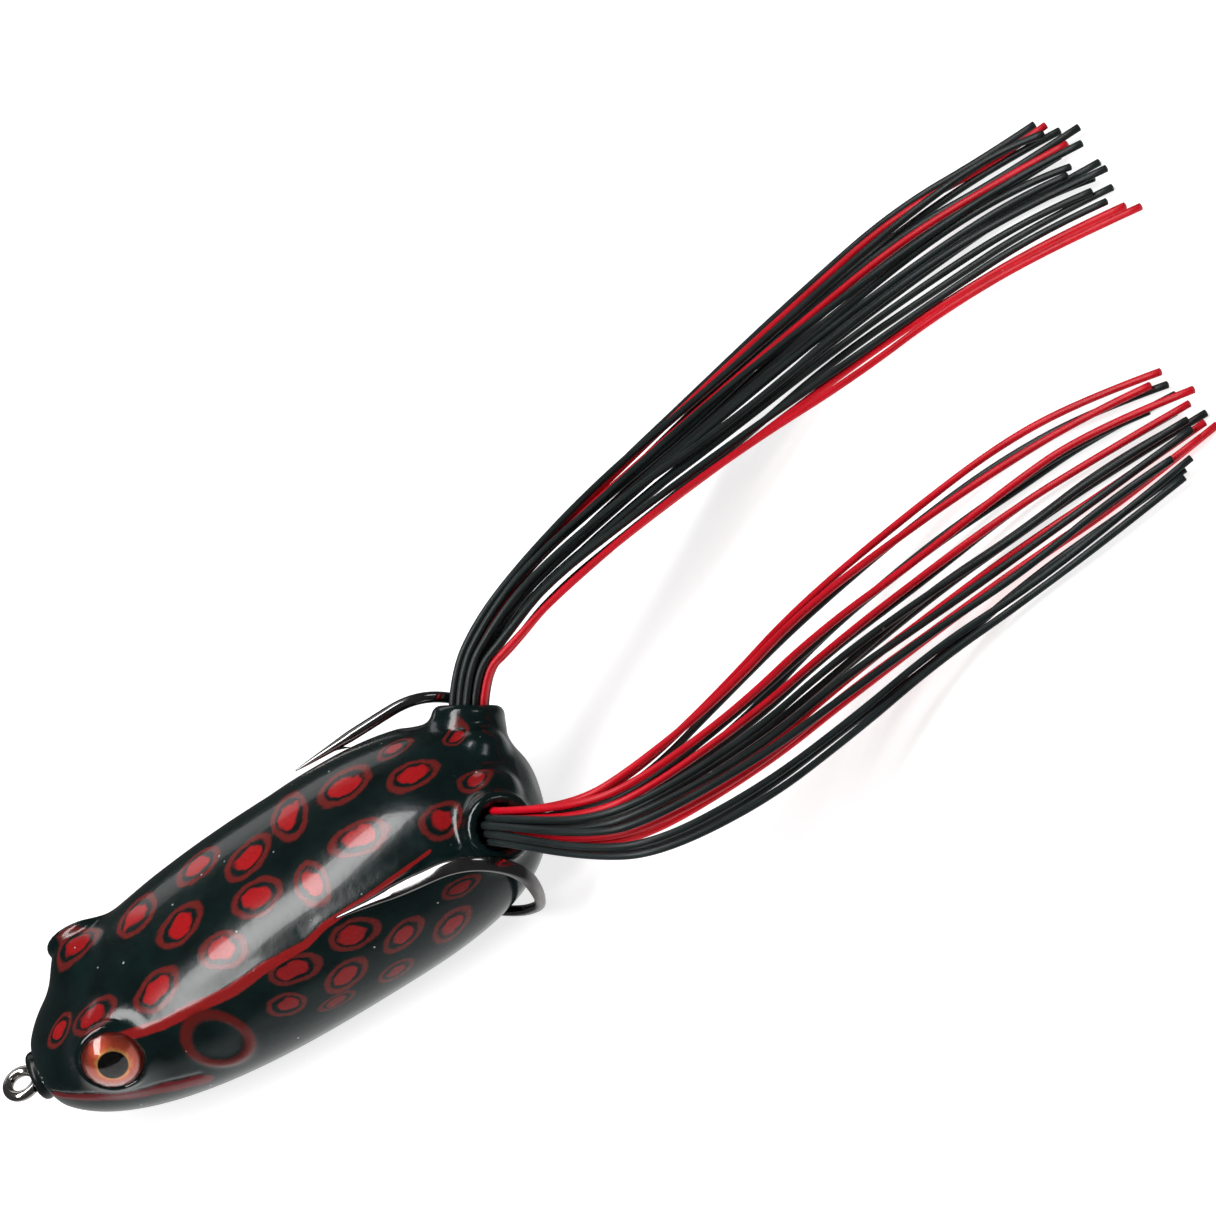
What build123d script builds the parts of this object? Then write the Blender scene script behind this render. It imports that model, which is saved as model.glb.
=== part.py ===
from build123d import *
from math import atan2, cos, degrees, hypot, pi, sin, sqrt, tan
import os

# Hollow-bodied topwater frog. +X to the nose, +Y to its left, +Z up, in millimetres.
# The origin is on the flat of the belly, under the middle of the body.
os.makedirs("parts", exist_ok=True)

# ---- body skin ----
body_length = 64.0
body_width = 24.8
body_height = 21.8
wall = 1.4
belly_cut = 0.4  # how much of the round belly is moulded away to a flat
squareness = 2.6  # exponent of the superellipse section
nose_reach = 1.2  # how far past each end the outline would close
tail_reach = 0.25
widest_x = -8.0
nose_drop = 0.5
tail_drop = 0.9
section_points = 20
nose_x = body_length / 2
tail_x = -body_length / 2

# ---- eyes and brows ----
brow_x = 21.7
brow_angle = 27.0  # round the section, up from the widest point
brow_radius = 4.2
brow_sink = 1.7
eye_aim = (0.28, 0.94, 0.17)
eye_diameter = 6.6
lens_proud = 0.25
foil_thickness = 0.15
eye_clearance = 0.03
foil_clearance = 0.01

# ---- leg tubes ----
tube_x = -28.7
tube_angle = 26.0
tube_aim = (-0.49, 0.72, 0.49)
tube_diameter = 7.9
tube_stand = 1.3  # from the skin to the mouth
tube_depth = 5.6
mouth_flare = 0.65
skirt_collar_length = 2.2
skirt_collar_bore = 1.6
collar_clearance = 0.03

# ---- tail ridges ----
ridge_radius = 3.0
ridge_side = 3.1
ridge_x = -28.9
ridge_z = 13.4

# ---- double hook ----
wire = 1.2
shank_gap = 0.04
shank_front_stand = 0.6  # from the nose to where the ring begins
shank_front_x = nose_x + shank_front_stand
shank_front_z = 10.4
shank_rear_x = -14.0
shank_rear_z = 2.3
ring_radius = 1.7
ring_neck_radius = 1.2
arm_foot = (-22.8, 7.2, 0.15)  # the low corner of an arm, under the belly: its arc passes above
arm_route = [(-28.0, -22.0, 4.3), (-29.3, 6.0, 4.6), (-25.2, 28.0, 3.8)]  # x, angle, out of the skin
point_x = -9.5
point_angle = 34.0
point_out = 0.9
point_length = 7.0
point_tip = 0.12
barb_length = 1.8
barb_radius = 0.32
barb_tip = 0.06
barb_lift = 0.45  # how far it leans off the wire, against how far back
barb_back = 0.9
hook_travel = 1.5
slot_play = 0.45
slot_end_room = 1.6
slot_top = 3.4
braze_radius = 0.24
braze_gap = 0.02
braze_rear_x = -9.0
braze_front_x = 12.0

# ---- keel weight and nose collar ----
weight_length = 12.0
weight_width = 7.4
weight_height = 3.9
weight_rise = 1.05
weight_rear_x = -8.5
weight_gap = 0.03
weight_corner = 0.42  # radius of its corners, as a share of its height
weight_chamfer = 0.6
nose_collar_diameter = 5.4
nose_collar_length = 6.6
nose_collar_proud = 1.3
nose_collar_edge = 1.0
shank_clearance = 0.06
nose_mouth_width = 4.1
nose_mouth_height = 1.7
nose_mouth_depth = 1.1

# ---- rubber strands ----
strand_diameter = 0.84
strand_pitch = 0.95
strand_start = 1.5  # inside the mouth, where the leg bends from
strand_lead = 4.0  # straight out of the mouth
root_gap = 0.7
row_pitch = strand_pitch * sqrt(3) / 2


# ================= the skin as a formula =================


def half_width(x):
    """Half the width of the skin at x."""
    if x > widest_x:
        share = (x - widest_x) / (nose_x + nose_reach - widest_x)
        return body_width / 2 * (1 - share**2.6) ** 0.48
    share = (widest_x - x) / (widest_x - tail_x + tail_reach)
    return body_width / 2 * (1 - share**3.0) ** 0.35


def half_height(x):
    """Half the height of the skin at x."""
    if x > widest_x:
        share = (x - widest_x) / (nose_x + nose_reach - widest_x)
        return body_height / 2 * (1 - share**2.6) ** 0.5
    share = (widest_x - x) / (widest_x - tail_x + tail_reach)
    return body_height / 2 * (1 - share**2.4) ** 0.42


def middle_height(x):
    """Height of the section's middle at x."""
    middle = body_height / 2 - belly_cut
    if x > widest_x:
        return middle - nose_drop * ((x - widest_x) / (nose_x - widest_x)) ** 2
    return middle - tail_drop * ((widest_x - x) / (widest_x - tail_x)) ** 2


def section_point(x, angle, inset=0.0):
    """A point (y, z) of the section at x, at an angle up from +Y."""
    across = half_width(x) - inset
    up = half_height(x) - inset
    c = cos(angle)
    s = sin(angle)
    reach = (abs(c / across) ** squareness + abs(s / up) ** squareness) ** (-1 / squareness)
    return (reach * c, middle_height(x) + reach * s)


def skin_point(x, angle_degrees, out=0.0, side=1):
    """A point on the skin, or out from it, on the left (1) or the right (-1)."""
    y, z = section_point(x, angle_degrees * pi / 180)
    radial = Vector(0, y, z - middle_height(x)).normalized()
    return Vector(x, side * (y + out * radial.Y), z + out * radial.Z)


def mirrored(point, side):
    """The point as it is on the left (1), or mirrored to the right (-1)."""
    x, y, z = point
    return Vector(x, side * y, z)


def between(start, end, share):
    """The point a share of the way from start to end."""
    return start + (end - start) * share


def finish(builder, name):
    """Label a piece and write its file."""
    builder.part.label = name
    export_step(builder.part, f"parts/{name}.step")


outer_stations = [
    tail_x, tail_x + 0.7, tail_x + 2.0, tail_x + 4.2, tail_x + 8.0, tail_x + 14.0, widest_x,
    widest_x + 10.0, widest_x + 19.0, nose_x - 14.0, nose_x - 8.5, nose_x - 4.5, nose_x - 1.8, nose_x,
]
inner_stations = [
    tail_x + wall + 0.6, tail_x + 4.2, tail_x + 8.0, tail_x + 14.0, widest_x,
    widest_x + 10.0, widest_x + 19.0, nose_x - 14.0, nose_x - 8.5, nose_x - 4.8,
]


def section_plane(x):
    """The plane of the section at x, with its own x along +Y and y along +Z."""
    return Plane(origin=(x, 0, 0), x_dir=(0, 1, 0), z_dir=(1, 0, 0))


# ================= shared places =================

aim_length = sqrt(sum(part * part for part in tube_aim))
tube_way = Vector(*tube_aim) / aim_length
eye_way = Vector(*eye_aim).normalized()
tube_bore = 2 * (2 * strand_pitch + strand_diameter / 2) + 0.3
shank_side = wire / 2 + shank_gap / 2
shank_slope = atan2(shank_front_z - shank_rear_z, shank_front_x - shank_rear_x)
shank_way = Vector(cos(shank_slope), 0, sin(shank_slope))
shank_plane = Plane(
    origin=(shank_front_x, 0, shank_front_z), x_dir=shank_way, z_dir=(-shank_way.Z, 0, shank_way.X)
)
shank_length = hypot(shank_front_x - shank_rear_x, shank_front_z - shank_rear_z)

lens_radius = brow_radius + lens_proud
lens_base = sqrt(lens_radius**2 - (eye_diameter / 2) ** 2)
collar_front = (nose_x + nose_collar_proud - shank_front_x) / cos(shank_slope)
slot_turn = degrees(atan2(arm_foot[1] - shank_side, arm_foot[0] - shank_rear_x))
slot_width = wire + 2 * slot_play + hook_travel * abs(sin(slot_turn * pi / 180))
slot_length = hypot(arm_foot[1] - shank_side, arm_foot[0] - shank_rear_x) + slot_end_room + hook_travel


def section_outline(x, inset=0.0):
    """Points round the section at x, in its own plane."""
    return [section_point(x, 2 * pi * i / section_points, inset) for i in range(section_points)]


def shank_plane_at(along):
    """Plane across the shanks, its x along +Y, a distance along them from their front."""
    return Plane(origin=shank_plane.origin + shank_way * along, x_dir=(0, 1, 0), z_dir=shank_way)


def eye_plane(side, out):
    """Plane across the eye, a distance out from the middle of the brow's ball."""
    way = mirrored(eye_way, side)
    return Plane(origin=brow_centre(side) + way * out, z_dir=way)


def slot_centre(side):
    """Middle of one arm's slot in the belly."""
    return Vector((shank_rear_x + arm_foot[0] + hook_travel) / 2, side * (shank_side + arm_foot[1]) / 2, 0)


def shank_at(x):
    """Distance back along the shank plane to the place above x."""
    return (x - shank_front_x) / cos(shank_slope)


def brow_centre(side):
    """Middle of the brow's ball."""
    return skin_point(brow_x, brow_angle, -brow_sink, side)


def mouth(side):
    """Middle of the leg tube's mouth."""
    return skin_point(tube_x, tube_angle, 0, side) + mirrored(tube_way, side) * tube_stand


def mouth_plane(side, out=0.0):
    """Plane across the leg tube, its x level and pointing outward, a distance out of the mouth."""
    way = mirrored(tube_way, side)
    level = Vector(-way.Y * side, way.X * side, 0).normalized() * -1
    return Plane(origin=mouth(side) + way * out, x_dir=level, z_dir=way)


def arc_radii(points):
    """Radius at each inner corner of a route, as large as its two runs allow."""
    radii = []
    for before, corner, after in zip(points, points[1:], points[2:]):
        turn = (corner - before).get_angle(after - corner)
        shorter = min((corner - before).length, (after - corner).length)
        radii.append(0.45 * shorter / tan(turn * pi / 360))
    return radii


# Middle lines that the strands fan between, from the side nearer the body's middle to the outer side.
left_guides = [
    [(-40.2, 15.1, 17.3), (-47.2, 15.2, 16.8), (-57.3, 7.9, 13.2), (-67.1, -3.5, 7.6), (-79.2, -10.5, 3.2),
     (-92.0, -13.7, 1.35), (-102.9, -12.6, 1.35), (-111.5, -10.0, 1.35)],
    [(-40.4, 17.1, 17.3), (-47.7, 18.4, 16.8), (-59.8, 13.5, 13.2), (-68.9, 4.8, 7.6), (-79.6, -1.7, 3.2),
     (-91.1, -5.1, 1.35), (-102.5, -6.1, 1.35), (-114.7, -4.5, 1.35)],
    [(-40.7, 21.0, 17.3), (-47.7, 23.4, 16.8), (-59.5, 19.8, 13.2), (-69.7, 12.0, 7.6), (-80.2, 6.3, 3.2),
     (-91.5, 3.6, 1.35), (-102.9, 2.8, 1.35), (-115.7, 0.7, 1.35)],
    [(-39.6, 22.9, 17.3), (-47.3, 27.5, 16.8), (-58.6, 25.7, 13.2), (-68.8, 18.2, 7.6), (-78.9, 11.4, 3.2),
     (-89.8, 7.8, 1.35), (-100.8, 6.6, 1.35), (-111.3, 4.9, 1.35)],
]
right_guides = [
    [(-37.6, -11.2, 17.3), (-43.8, -15.0, 16.8), (-55.1, -21.1, 13.2), (-66.5, -28.3, 7.6),
     (-78.3, -33.9, 3.2), (-91.5, -36.7, 1.35), (-104.1, -36.5, 1.35), (-115.7, -34.4, 1.35)],
    [(-36.5, -14.1, 17.3), (-42.5, -18.2, 16.8), (-53.2, -25.2, 13.2), (-65.1, -33.7, 7.6),
     (-77.4, -41.1, 3.2), (-90.7, -44.9, 1.35), (-103.2, -44.8, 1.35), (-112.8, -43.6, 1.35)],
    [(-35.3, -16.1, 17.3), (-41.1, -21.2, 16.8), (-51.4, -29.3, 13.2), (-63.5, -39.2, 7.6),
     (-76.1, -48.0, 3.2), (-89.2, -52.9, 1.35), (-102.0, -53.1, 1.35), (-109.8, -52.5, 1.35)],
]
row_heights = [row_pitch, row_pitch, 0.76, 0.66, 0.55, 0.45, 0.45, 0.45]  # between rows, at each guide point

# Each strand: place across the mouth and its row, both in strand pitches, then its place in the fan,
# how far it reaches along the last run, and its colour.
left_strands = [
    (-2.0, 0, 0.00, 0.95, "red"), (-1.5, -1, 0.20, 1.00, "black"), (-1.5, 1, 0.33, 0.80, "red"),
    (-1.0, -2, 0.62, 0.90, "black"), (-1.0, 0, 0.76, 0.60, "black"), (-1.0, 2, 0.90, 1.00, "red"),
    (-0.5, -1, 1.08, 0.75, "black"), (-0.5, 1, 1.22, 0.95, "red"), (0.0, -2, 1.36, 1.00, "black"),
    (0.0, 0, 1.48, 0.70, "black"), (0.0, 2, 1.60, 0.85, "black"), (0.5, -1, 1.70, 0.95, "red"),
    (0.5, 1, 1.82, 0.80, "black"), (1.0, -2, 1.94, 1.00, "red"), (1.0, 0, 2.06, 0.90, "red"),
    (1.0, 2, 2.20, 0.70, "black"), (1.5, -1, 2.62, 0.85, "black"), (1.5, 1, 2.80, 1.00, "black"),
    (2.0, 0, 3.04, 0.95, "black"),
]
right_strands = [
    (-2.0, 0, 0.00, 1.00, "red"), (-1.5, -1, 0.15, 0.90, "red"), (-1.5, 1, 0.24, 0.75, "black"),
    (-1.0, -2, 0.52, 0.95, "black"), (-1.0, 0, 0.64, 0.70, "black"), (-1.0, 2, 0.76, 1.00, "black"),
    (-0.5, -1, 0.88, 0.85, "black"), (-0.5, 1, 1.00, 0.65, "black"), (0.0, -2, 1.10, 0.95, "black"),
    (0.0, 0, 1.22, 0.80, "black"), (0.0, 2, 1.34, 1.00, "black"), (0.5, -1, 1.44, 0.70, "black"),
    (0.5, 1, 1.54, 0.90, "red"), (1.0, -2, 1.62, 0.80, "black"), (1.0, 0, 1.71, 1.00, "black"),
    (1.0, 2, 1.80, 0.75, "black"), (1.5, -1, 1.88, 0.95, "black"), (1.5, 1, 1.96, 0.85, "red"),
    (2.0, 0, 2.14, 0.70, "black"),
]


def strand_routes(side):
    """Colour and corners of every strand of one leg."""
    guides = left_guides if side == 1 else right_guides
    strands = left_strands if side == 1 else right_strands
    root = mouth_plane(side)
    way = mirrored(tube_way, side)
    routes = []
    for across, row, place, reach, colour in strands:
        slot = root.from_local_coords(Vector(across * strand_pitch, -side * row * row_pitch, 0))
        points = [slot - way * strand_start, slot + way * strand_lead]
        first = min(int(place), len(guides) - 2)
        share = place - first
        for low, high, height in zip(guides[first], guides[first + 1], row_heights):
            points.append(between(Vector(*low), Vector(*high), share) + Vector(0, 0, row * height))
        points[-1] = between(points[-2], points[-1], reach)
        routes.append((colour, points))
    return routes


# ================= body shell =================

with BuildPart() as body_shell:
    for x in outer_stations:
        with BuildSketch(section_plane(x)):
            with BuildLine():
                Spline(*section_outline(x), periodic=True)
            make_face()
    loft()
    for side in (1, -1):
        with Locations(brow_centre(side)):
            Sphere(brow_radius)
        with Locations(Vector(ridge_x, side * ridge_side, ridge_z)):
            Sphere(ridge_radius)
    for x in inner_stations:
        with BuildSketch(section_plane(x)):
            with BuildLine():
                Spline(*section_outline(x, wall), periodic=True)
            make_face()
    loft(mode=Mode.SUBTRACT)
    for side in (1, -1):
        # leg tube, with its bore and flared mouth
        with BuildSketch(mouth_plane(side)):
            Circle(tube_diameter / 2)
        extrude(amount=-tube_depth)
        with BuildSketch(mouth_plane(side)):
            Circle(tube_bore / 2)
        extrude(amount=-tube_depth, mode=Mode.SUBTRACT)
        with BuildSketch(mouth_plane(side)):
            Circle(tube_bore / 2 + mouth_flare)
        with BuildSketch(mouth_plane(side, -strand_start)):
            Circle(tube_bore / 2)
        loft(mode=Mode.SUBTRACT)
        # eye socket
        with BuildSketch(eye_plane(side, lens_base - foil_thickness - eye_clearance)):
            Circle(eye_diameter / 2 + eye_clearance)
        extrude(amount=brow_radius, mode=Mode.SUBTRACT)
        # slot in the belly for one arm of the hook
        with BuildSketch(Plane.XY.offset(-1)):
            with Locations(Location(slot_centre(side), (0, 0, side * slot_turn))):
                SlotOverall(slot_length, slot_width)
        extrude(amount=slot_top + 1, mode=Mode.SUBTRACT)
    # seat of the nose collar
    with BuildSketch(shank_plane_at(collar_front)):
        Circle(nose_collar_diameter / 2)
    extrude(amount=-nose_collar_length, mode=Mode.SUBTRACT)
    split(bisect_by=Plane.XY, keep=Keep.TOP)
finish(body_shell, "body_shell")

# ================= nose collar =================

with BuildPart() as nose_collar:
    with BuildSketch(shank_plane_at(collar_front)):
        Circle(nose_collar_diameter / 2)
    extrude(amount=-nose_collar_length)
    fillet(nose_collar.edges().group_by(Axis.X)[-1], nose_collar_edge)
    with BuildSketch(shank_plane_at(collar_front)):
        SlotOverall(2 * (shank_side + wire / 2 + shank_clearance), wire + 2 * shank_clearance)
    extrude(amount=-nose_collar_length, mode=Mode.SUBTRACT)
    with BuildSketch(shank_plane_at(collar_front)):
        SlotOverall(nose_mouth_width, nose_mouth_height)
    extrude(amount=-nose_mouth_depth, mode=Mode.SUBTRACT)
finish(nose_collar, "nose_collar")

# ================= double hook =================

neck_x = sqrt((ring_radius + ring_neck_radius) ** 2 - (shank_side + ring_neck_radius) ** 2)
neck_share = ring_radius / (ring_radius + ring_neck_radius)
join = (neck_x * (1 - neck_share), (shank_side + ring_neck_radius) * neck_share)
neck_middle_turn = atan2(join[0], shank_side + ring_neck_radius - join[1]) / 2
neck_middle = (
    ring_neck_radius * sin(neck_middle_turn),
    shank_side + ring_neck_radius * (1 - cos(neck_middle_turn)),
)


def on_shank(along, across):
    """A point of the plane that holds both shanks and the ring."""
    return shank_plane.from_local_coords(Vector(along, across, 0))


def arm_points(side):
    """Corners of one arm, from the front of its shank to the root of its point."""
    foot_x, foot_y, foot_z = arm_foot
    points = [
        on_shank(0, side * shank_side),
        on_shank(-shank_length, side * shank_side),
        Vector(foot_x, side * foot_y, foot_z),
    ]
    points += [skin_point(x, angle, out, side) for x, angle, out in arm_route]
    tip = skin_point(point_x, point_angle, point_out, side)
    points.append(tip + (points[-1] - tip).normalized() * point_length)
    return points, tip


with BuildPart() as double_hook:
    with BuildLine() as wire_line:
        for side in (1, -1):
            corners, tip = arm_points(side)
            FilletPolyline(*corners, radius=arc_radii(corners))
            ThreePointArc(
                on_shank(0, side * shank_side),
                on_shank(neck_middle[0], side * neck_middle[1]),
                on_shank(join[0], side * join[1]),
            )
        ThreePointArc(
            on_shank(join[0], join[1]),
            on_shank(neck_x + ring_radius, 0),
            on_shank(join[0], -join[1]),
        )
    root = arm_points(1)[0][-1]
    with BuildSketch(Plane(origin=root, z_dir=arm_points(1)[1] - root)):
        Circle(wire / 2)
    sweep(path=Wire(wire_line.edges()))
    for side in (1, -1):
        corners, tip = arm_points(side)
        way = (tip - corners[-1]).normalized()
        with BuildSketch(Plane(origin=corners[-1], z_dir=way)):
            Circle(wire / 2)
        with BuildSketch(Plane(origin=tip, z_dir=way)):
            Circle(point_tip)
        loft()
        # the barb stands off the inner side of the wire, raked back
        inward = mirrored((0, -0.6, -0.8), side)
        inward = (inward - way * way.dot(inward)).normalized()
        rake = (inward * barb_lift - way * barb_back).normalized()
        with BuildSketch(Plane(origin=corners[-1] + way * barb_length / 2, z_dir=rake)):
            Circle(barb_radius)
        with BuildSketch(Plane(origin=corners[-1] + way * barb_length / 2 + rake * barb_length, z_dir=rake)):
            Circle(barb_tip)
        loft()
finish(double_hook, "double_hook")

# ================= braze and keel weight =================

with BuildPart() as shank_braze:
    for level in (1, -1):
        rise = level * sqrt((wire / 2 + braze_radius + braze_gap) ** 2 - shank_side**2)
        with BuildSketch(shank_plane_at(shank_at(braze_rear_x))):
            with Locations((0, rise)):
                Circle(braze_radius)
        extrude(amount=(braze_front_x - braze_rear_x) / cos(shank_slope))
finish(shank_braze, "shank_braze")

with BuildPart() as keel_weight:
    with BuildSketch(shank_plane_at(shank_at(weight_rear_x))):
        with Locations((0, weight_rise)):
            RectangleRounded(weight_width, weight_height, weight_height * weight_corner)
    extrude(amount=weight_length)
    chamfer(keel_weight.faces().filter_by(Plane(origin=(0, 0, 0), z_dir=shank_way)).edges(), weight_chamfer)
    with BuildSketch(shank_plane_at(shank_at(weight_rear_x))):
        Rectangle(2 * (shank_side + wire / 2 + weight_gap), wire + 4 * braze_radius + 2 * weight_gap)
    extrude(amount=weight_length, mode=Mode.SUBTRACT)
finish(keel_weight, "keel_weight")

# ================= eyes and skirt collars =================

for side, hand in ((1, "left"), (-1, "right")):
    with BuildPart() as eye_foil:
        with BuildSketch(eye_plane(side, lens_base - foil_thickness)):
            Circle(eye_diameter / 2)
        extrude(amount=foil_thickness - foil_clearance)
    finish(eye_foil, f"{hand}_eye_foil")

    with BuildPart() as eye_lens:
        with Locations(brow_centre(side)):
            Sphere(lens_radius)
        split(bisect_by=eye_plane(side, lens_base), keep=Keep.TOP)
    finish(eye_lens, f"{hand}_eye_lens")

    with BuildPart() as skirt_collar:
        with BuildSketch(mouth_plane(side, -strand_start - root_gap)):
            Circle(tube_bore / 2 - collar_clearance)
            Circle(skirt_collar_bore / 2, mode=Mode.SUBTRACT)
        extrude(amount=-skirt_collar_length)
    finish(skirt_collar, f"{hand}_skirt_collar")

# ================= rubber strands =================

for side, hand in ((1, "left"), (-1, "right")):
    for number, (colour, points) in enumerate(strand_routes(side), start=1):
        with BuildPart() as strand:
            with BuildLine() as line:
                FilletPolyline(*points, radius=arc_radii(points))
            with BuildSketch(Plane(origin=line.line @ 0, z_dir=line.line % 0)):
                Circle(strand_diameter / 2)
            sweep()
        finish(strand, f"{hand}_strand_{number:02d}_{colour}")
        run = sum(edge.length for edge in line.edges())
        straight = pi * strand_diameter**2 / 4 * run
        print(
            f"{hand} strand {number} {colour}: length {run:.1f},",
            f"volume {strand.part.volume:.2f} of {straight:.2f},",
            f"least radius {min(arc_radii(points)):.1f}",
        )

for side, hand in ((1, "left"), (-1, "right")):
    pivot = mouth(side) - mirrored(tube_way, side) * strand_start
    print(hand, "leg turns about", pivot, "mouth", mouth(side))
print("ring centre", on_shank(neck_x, 0), "shank way", shank_way)
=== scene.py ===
import bpy
import math
import numpy as np
import openvdb
from mathutils import Matrix, Vector


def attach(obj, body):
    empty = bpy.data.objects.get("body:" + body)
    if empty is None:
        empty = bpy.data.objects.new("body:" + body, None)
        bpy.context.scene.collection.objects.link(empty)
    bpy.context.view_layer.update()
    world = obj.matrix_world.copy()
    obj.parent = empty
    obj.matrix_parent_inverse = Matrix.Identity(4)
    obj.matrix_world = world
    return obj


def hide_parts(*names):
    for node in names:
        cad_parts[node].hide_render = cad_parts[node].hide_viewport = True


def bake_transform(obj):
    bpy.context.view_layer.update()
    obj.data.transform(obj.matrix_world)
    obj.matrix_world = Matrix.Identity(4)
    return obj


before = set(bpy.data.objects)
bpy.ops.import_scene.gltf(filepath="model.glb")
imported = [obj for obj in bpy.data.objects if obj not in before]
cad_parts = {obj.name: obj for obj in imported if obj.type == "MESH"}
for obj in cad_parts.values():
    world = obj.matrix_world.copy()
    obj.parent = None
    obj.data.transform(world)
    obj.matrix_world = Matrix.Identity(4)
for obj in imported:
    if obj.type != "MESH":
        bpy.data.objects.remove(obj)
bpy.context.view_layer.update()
mm = 0.001
print("frame loaded")

# places below are in millimetres, with +X to the nose, +Y to the frog's left and +Z up

# camera

camera = {"azimuth": 201.34, "elevation": 41.6, "roll": -46.45, "lens": 412.0, "distance": 1500.0,
          "aim": (-48.0, -12.0, 13.5)}


def makeCamera():
    azimuth, elevation, roll = (math.radians(camera[key]) for key in ("azimuth", "elevation", "roll"))
    back = Vector((math.sin(azimuth) * math.cos(elevation), -math.cos(azimuth) * math.cos(elevation),
                   math.sin(elevation)))
    level = Vector((0, 0, 1)).cross(back).normalized()
    up = back.cross(level)
    right = level * math.cos(roll) + up * math.sin(roll)
    over = up * math.cos(roll) - level * math.sin(roll)
    data = bpy.data.cameras.new("camera")
    data.lens = camera["lens"]
    made = bpy.data.objects.new("camera", data)
    bpy.context.scene.collection.objects.link(made)
    place = (Vector(camera["aim"]) + back * camera["distance"]) * mm
    made.matrix_world = Matrix.Translation(place) @ Matrix((right, over, back)).transposed().to_4x4()
    bpy.context.scene.camera = made


makeCamera()
print("camera made")

# mesh helpers


def addMesh(name, points, faces):
    data = bpy.data.meshes.new(name)
    data.from_pydata([tuple(float(part) * mm for part in point) for point in points], [], faces)
    data.shade_smooth()
    data.update()
    made = bpy.data.objects.new(name, data)
    bpy.context.scene.collection.objects.link(made)
    return made


def joinRings(rings, firstPoint=0):
    # quads between rings of equal length, and a face over each end
    count = len(rings[0])
    points = [tuple(point) for ring in rings for point in ring]
    faces = [tuple(range(firstPoint + count - 1, firstPoint - 1, -1))]
    for ring in range(len(rings) - 1):
        low = firstPoint + ring * count
        for side in range(count):
            after = (side + 1) % count
            faces.append((low + side, low + after, low + count + after, low + count + side))
    last = firstPoint + (len(rings) - 1) * count
    faces.append(tuple(range(last, last + count)))
    return points, faces


def addFloat(piece, name, values):
    attribute = piece.data.attributes.new(name, "FLOAT", "POINT")
    attribute.data.foreach_set("value", np.asarray(values, np.float32))


def unit(way):
    way = np.asarray(way, float)
    return way / np.linalg.norm(way)


def mirrored(way, side):
    return np.array([way[0], side * way[1], way[2]], float)


def smoothStep(low, high, value):
    share = np.clip((value - low) / (high - low), 0, 1)
    return share * share * (3 - 2 * share)


# the skin as a formula: half width, half height and middle height along the body

body = {
    "length": 64.0, "width": 24.8, "height": 21.8, "wall": 1.4, "bellyCut": 0.4, "squareness": 2.6,
    "widest": -8.0, "noseDrop": 0.5, "tailDrop": 0.9, "noseReach": 1.2, "tailReach": 0.25,
    "widthTaper": ((2.6, 0.48), (3.0, 0.35)), "heightTaper": ((2.6, 0.5), (2.4, 0.42)),
}
noseX = body["length"] / 2
tailX = -body["length"] / 2


def shares(x):
    front = np.clip((x - body["widest"]) / (noseX + body["noseReach"] - body["widest"]), 0, 0.9999)
    rear = np.clip((body["widest"] - x) / (body["widest"] - tailX + body["tailReach"]), 0, 0.9999)
    return front, rear


def tapered(x, curves):
    # power and root of the curve to the nose, then of the one to the tail
    front, rear = shares(x)
    (nosePower, noseRoot), (tailPower, tailRoot) = curves
    return np.where(x > body["widest"], (1 - front**nosePower) ** noseRoot, (1 - rear**tailPower) ** tailRoot)


def halfWidth(x):
    return body["width"] / 2 * tapered(x, body["widthTaper"])


def halfHeight(x):
    return body["height"] / 2 * tapered(x, body["heightTaper"])


def middleHeight(x):
    nose = body["noseDrop"] * ((x - body["widest"]) / (noseX - body["widest"])) ** 2
    tail = body["tailDrop"] * ((body["widest"] - x) / (body["widest"] - tailX)) ** 2
    return body["height"] / 2 - body["bellyCut"] - np.where(x > body["widest"], nose, tail)


def sectionReach(x, angle):
    # from the middle of the section at x out to the skin
    power = body["squareness"]
    across = np.abs(np.cos(angle) / halfWidth(x)) ** power
    up = np.abs(np.sin(angle) / halfHeight(x)) ** power
    return (across + up) ** (-1 / power)


def skinPoint(x, degrees, out=0.0, side=1):
    angle = math.radians(degrees)
    reach = float(sectionReach(x, angle)) + out
    return np.array([x, side * reach * math.cos(angle), float(middleHeight(x)) + reach * math.sin(angle)])


# leg tubes

tube = {"x": -28.7, "angle": 26.0, "way": (-0.49, 0.72, 0.49), "diameter": 7.9, "stand": 1.3, "depth": 5.6,
        "edge": 1.0, "flare": 0.2, "proud": 0.7}
strand = {"diameter": 0.84, "pitch": 0.95, "boreGap": 0.15, "insideMouth": 1.5, "lead": 4.0, "sides": 10,
          "steps": 12, "bendsOver": 12.0, "drift": 0.45, "driftUp": 0.15, "driftsFrom": 3, "waves": 0.03,
          "waveTurn": 0.35, "endRound": 0.05, "endSize": 0.82, "seeds": {1: 7, -1: 11}}
rowPitch = strand["pitch"] * math.sqrt(3) / 2
boreRadius = 2 * strand["pitch"] + strand["diameter"] / 2 + strand["boreGap"]


def tubeWay(side):
    return mirrored(unit(tube["way"]), side)


def mouth(side):
    return skinPoint(tube["x"], tube["angle"], 0, side) + tubeWay(side) * tube["stand"]


# rubber strands

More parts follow.
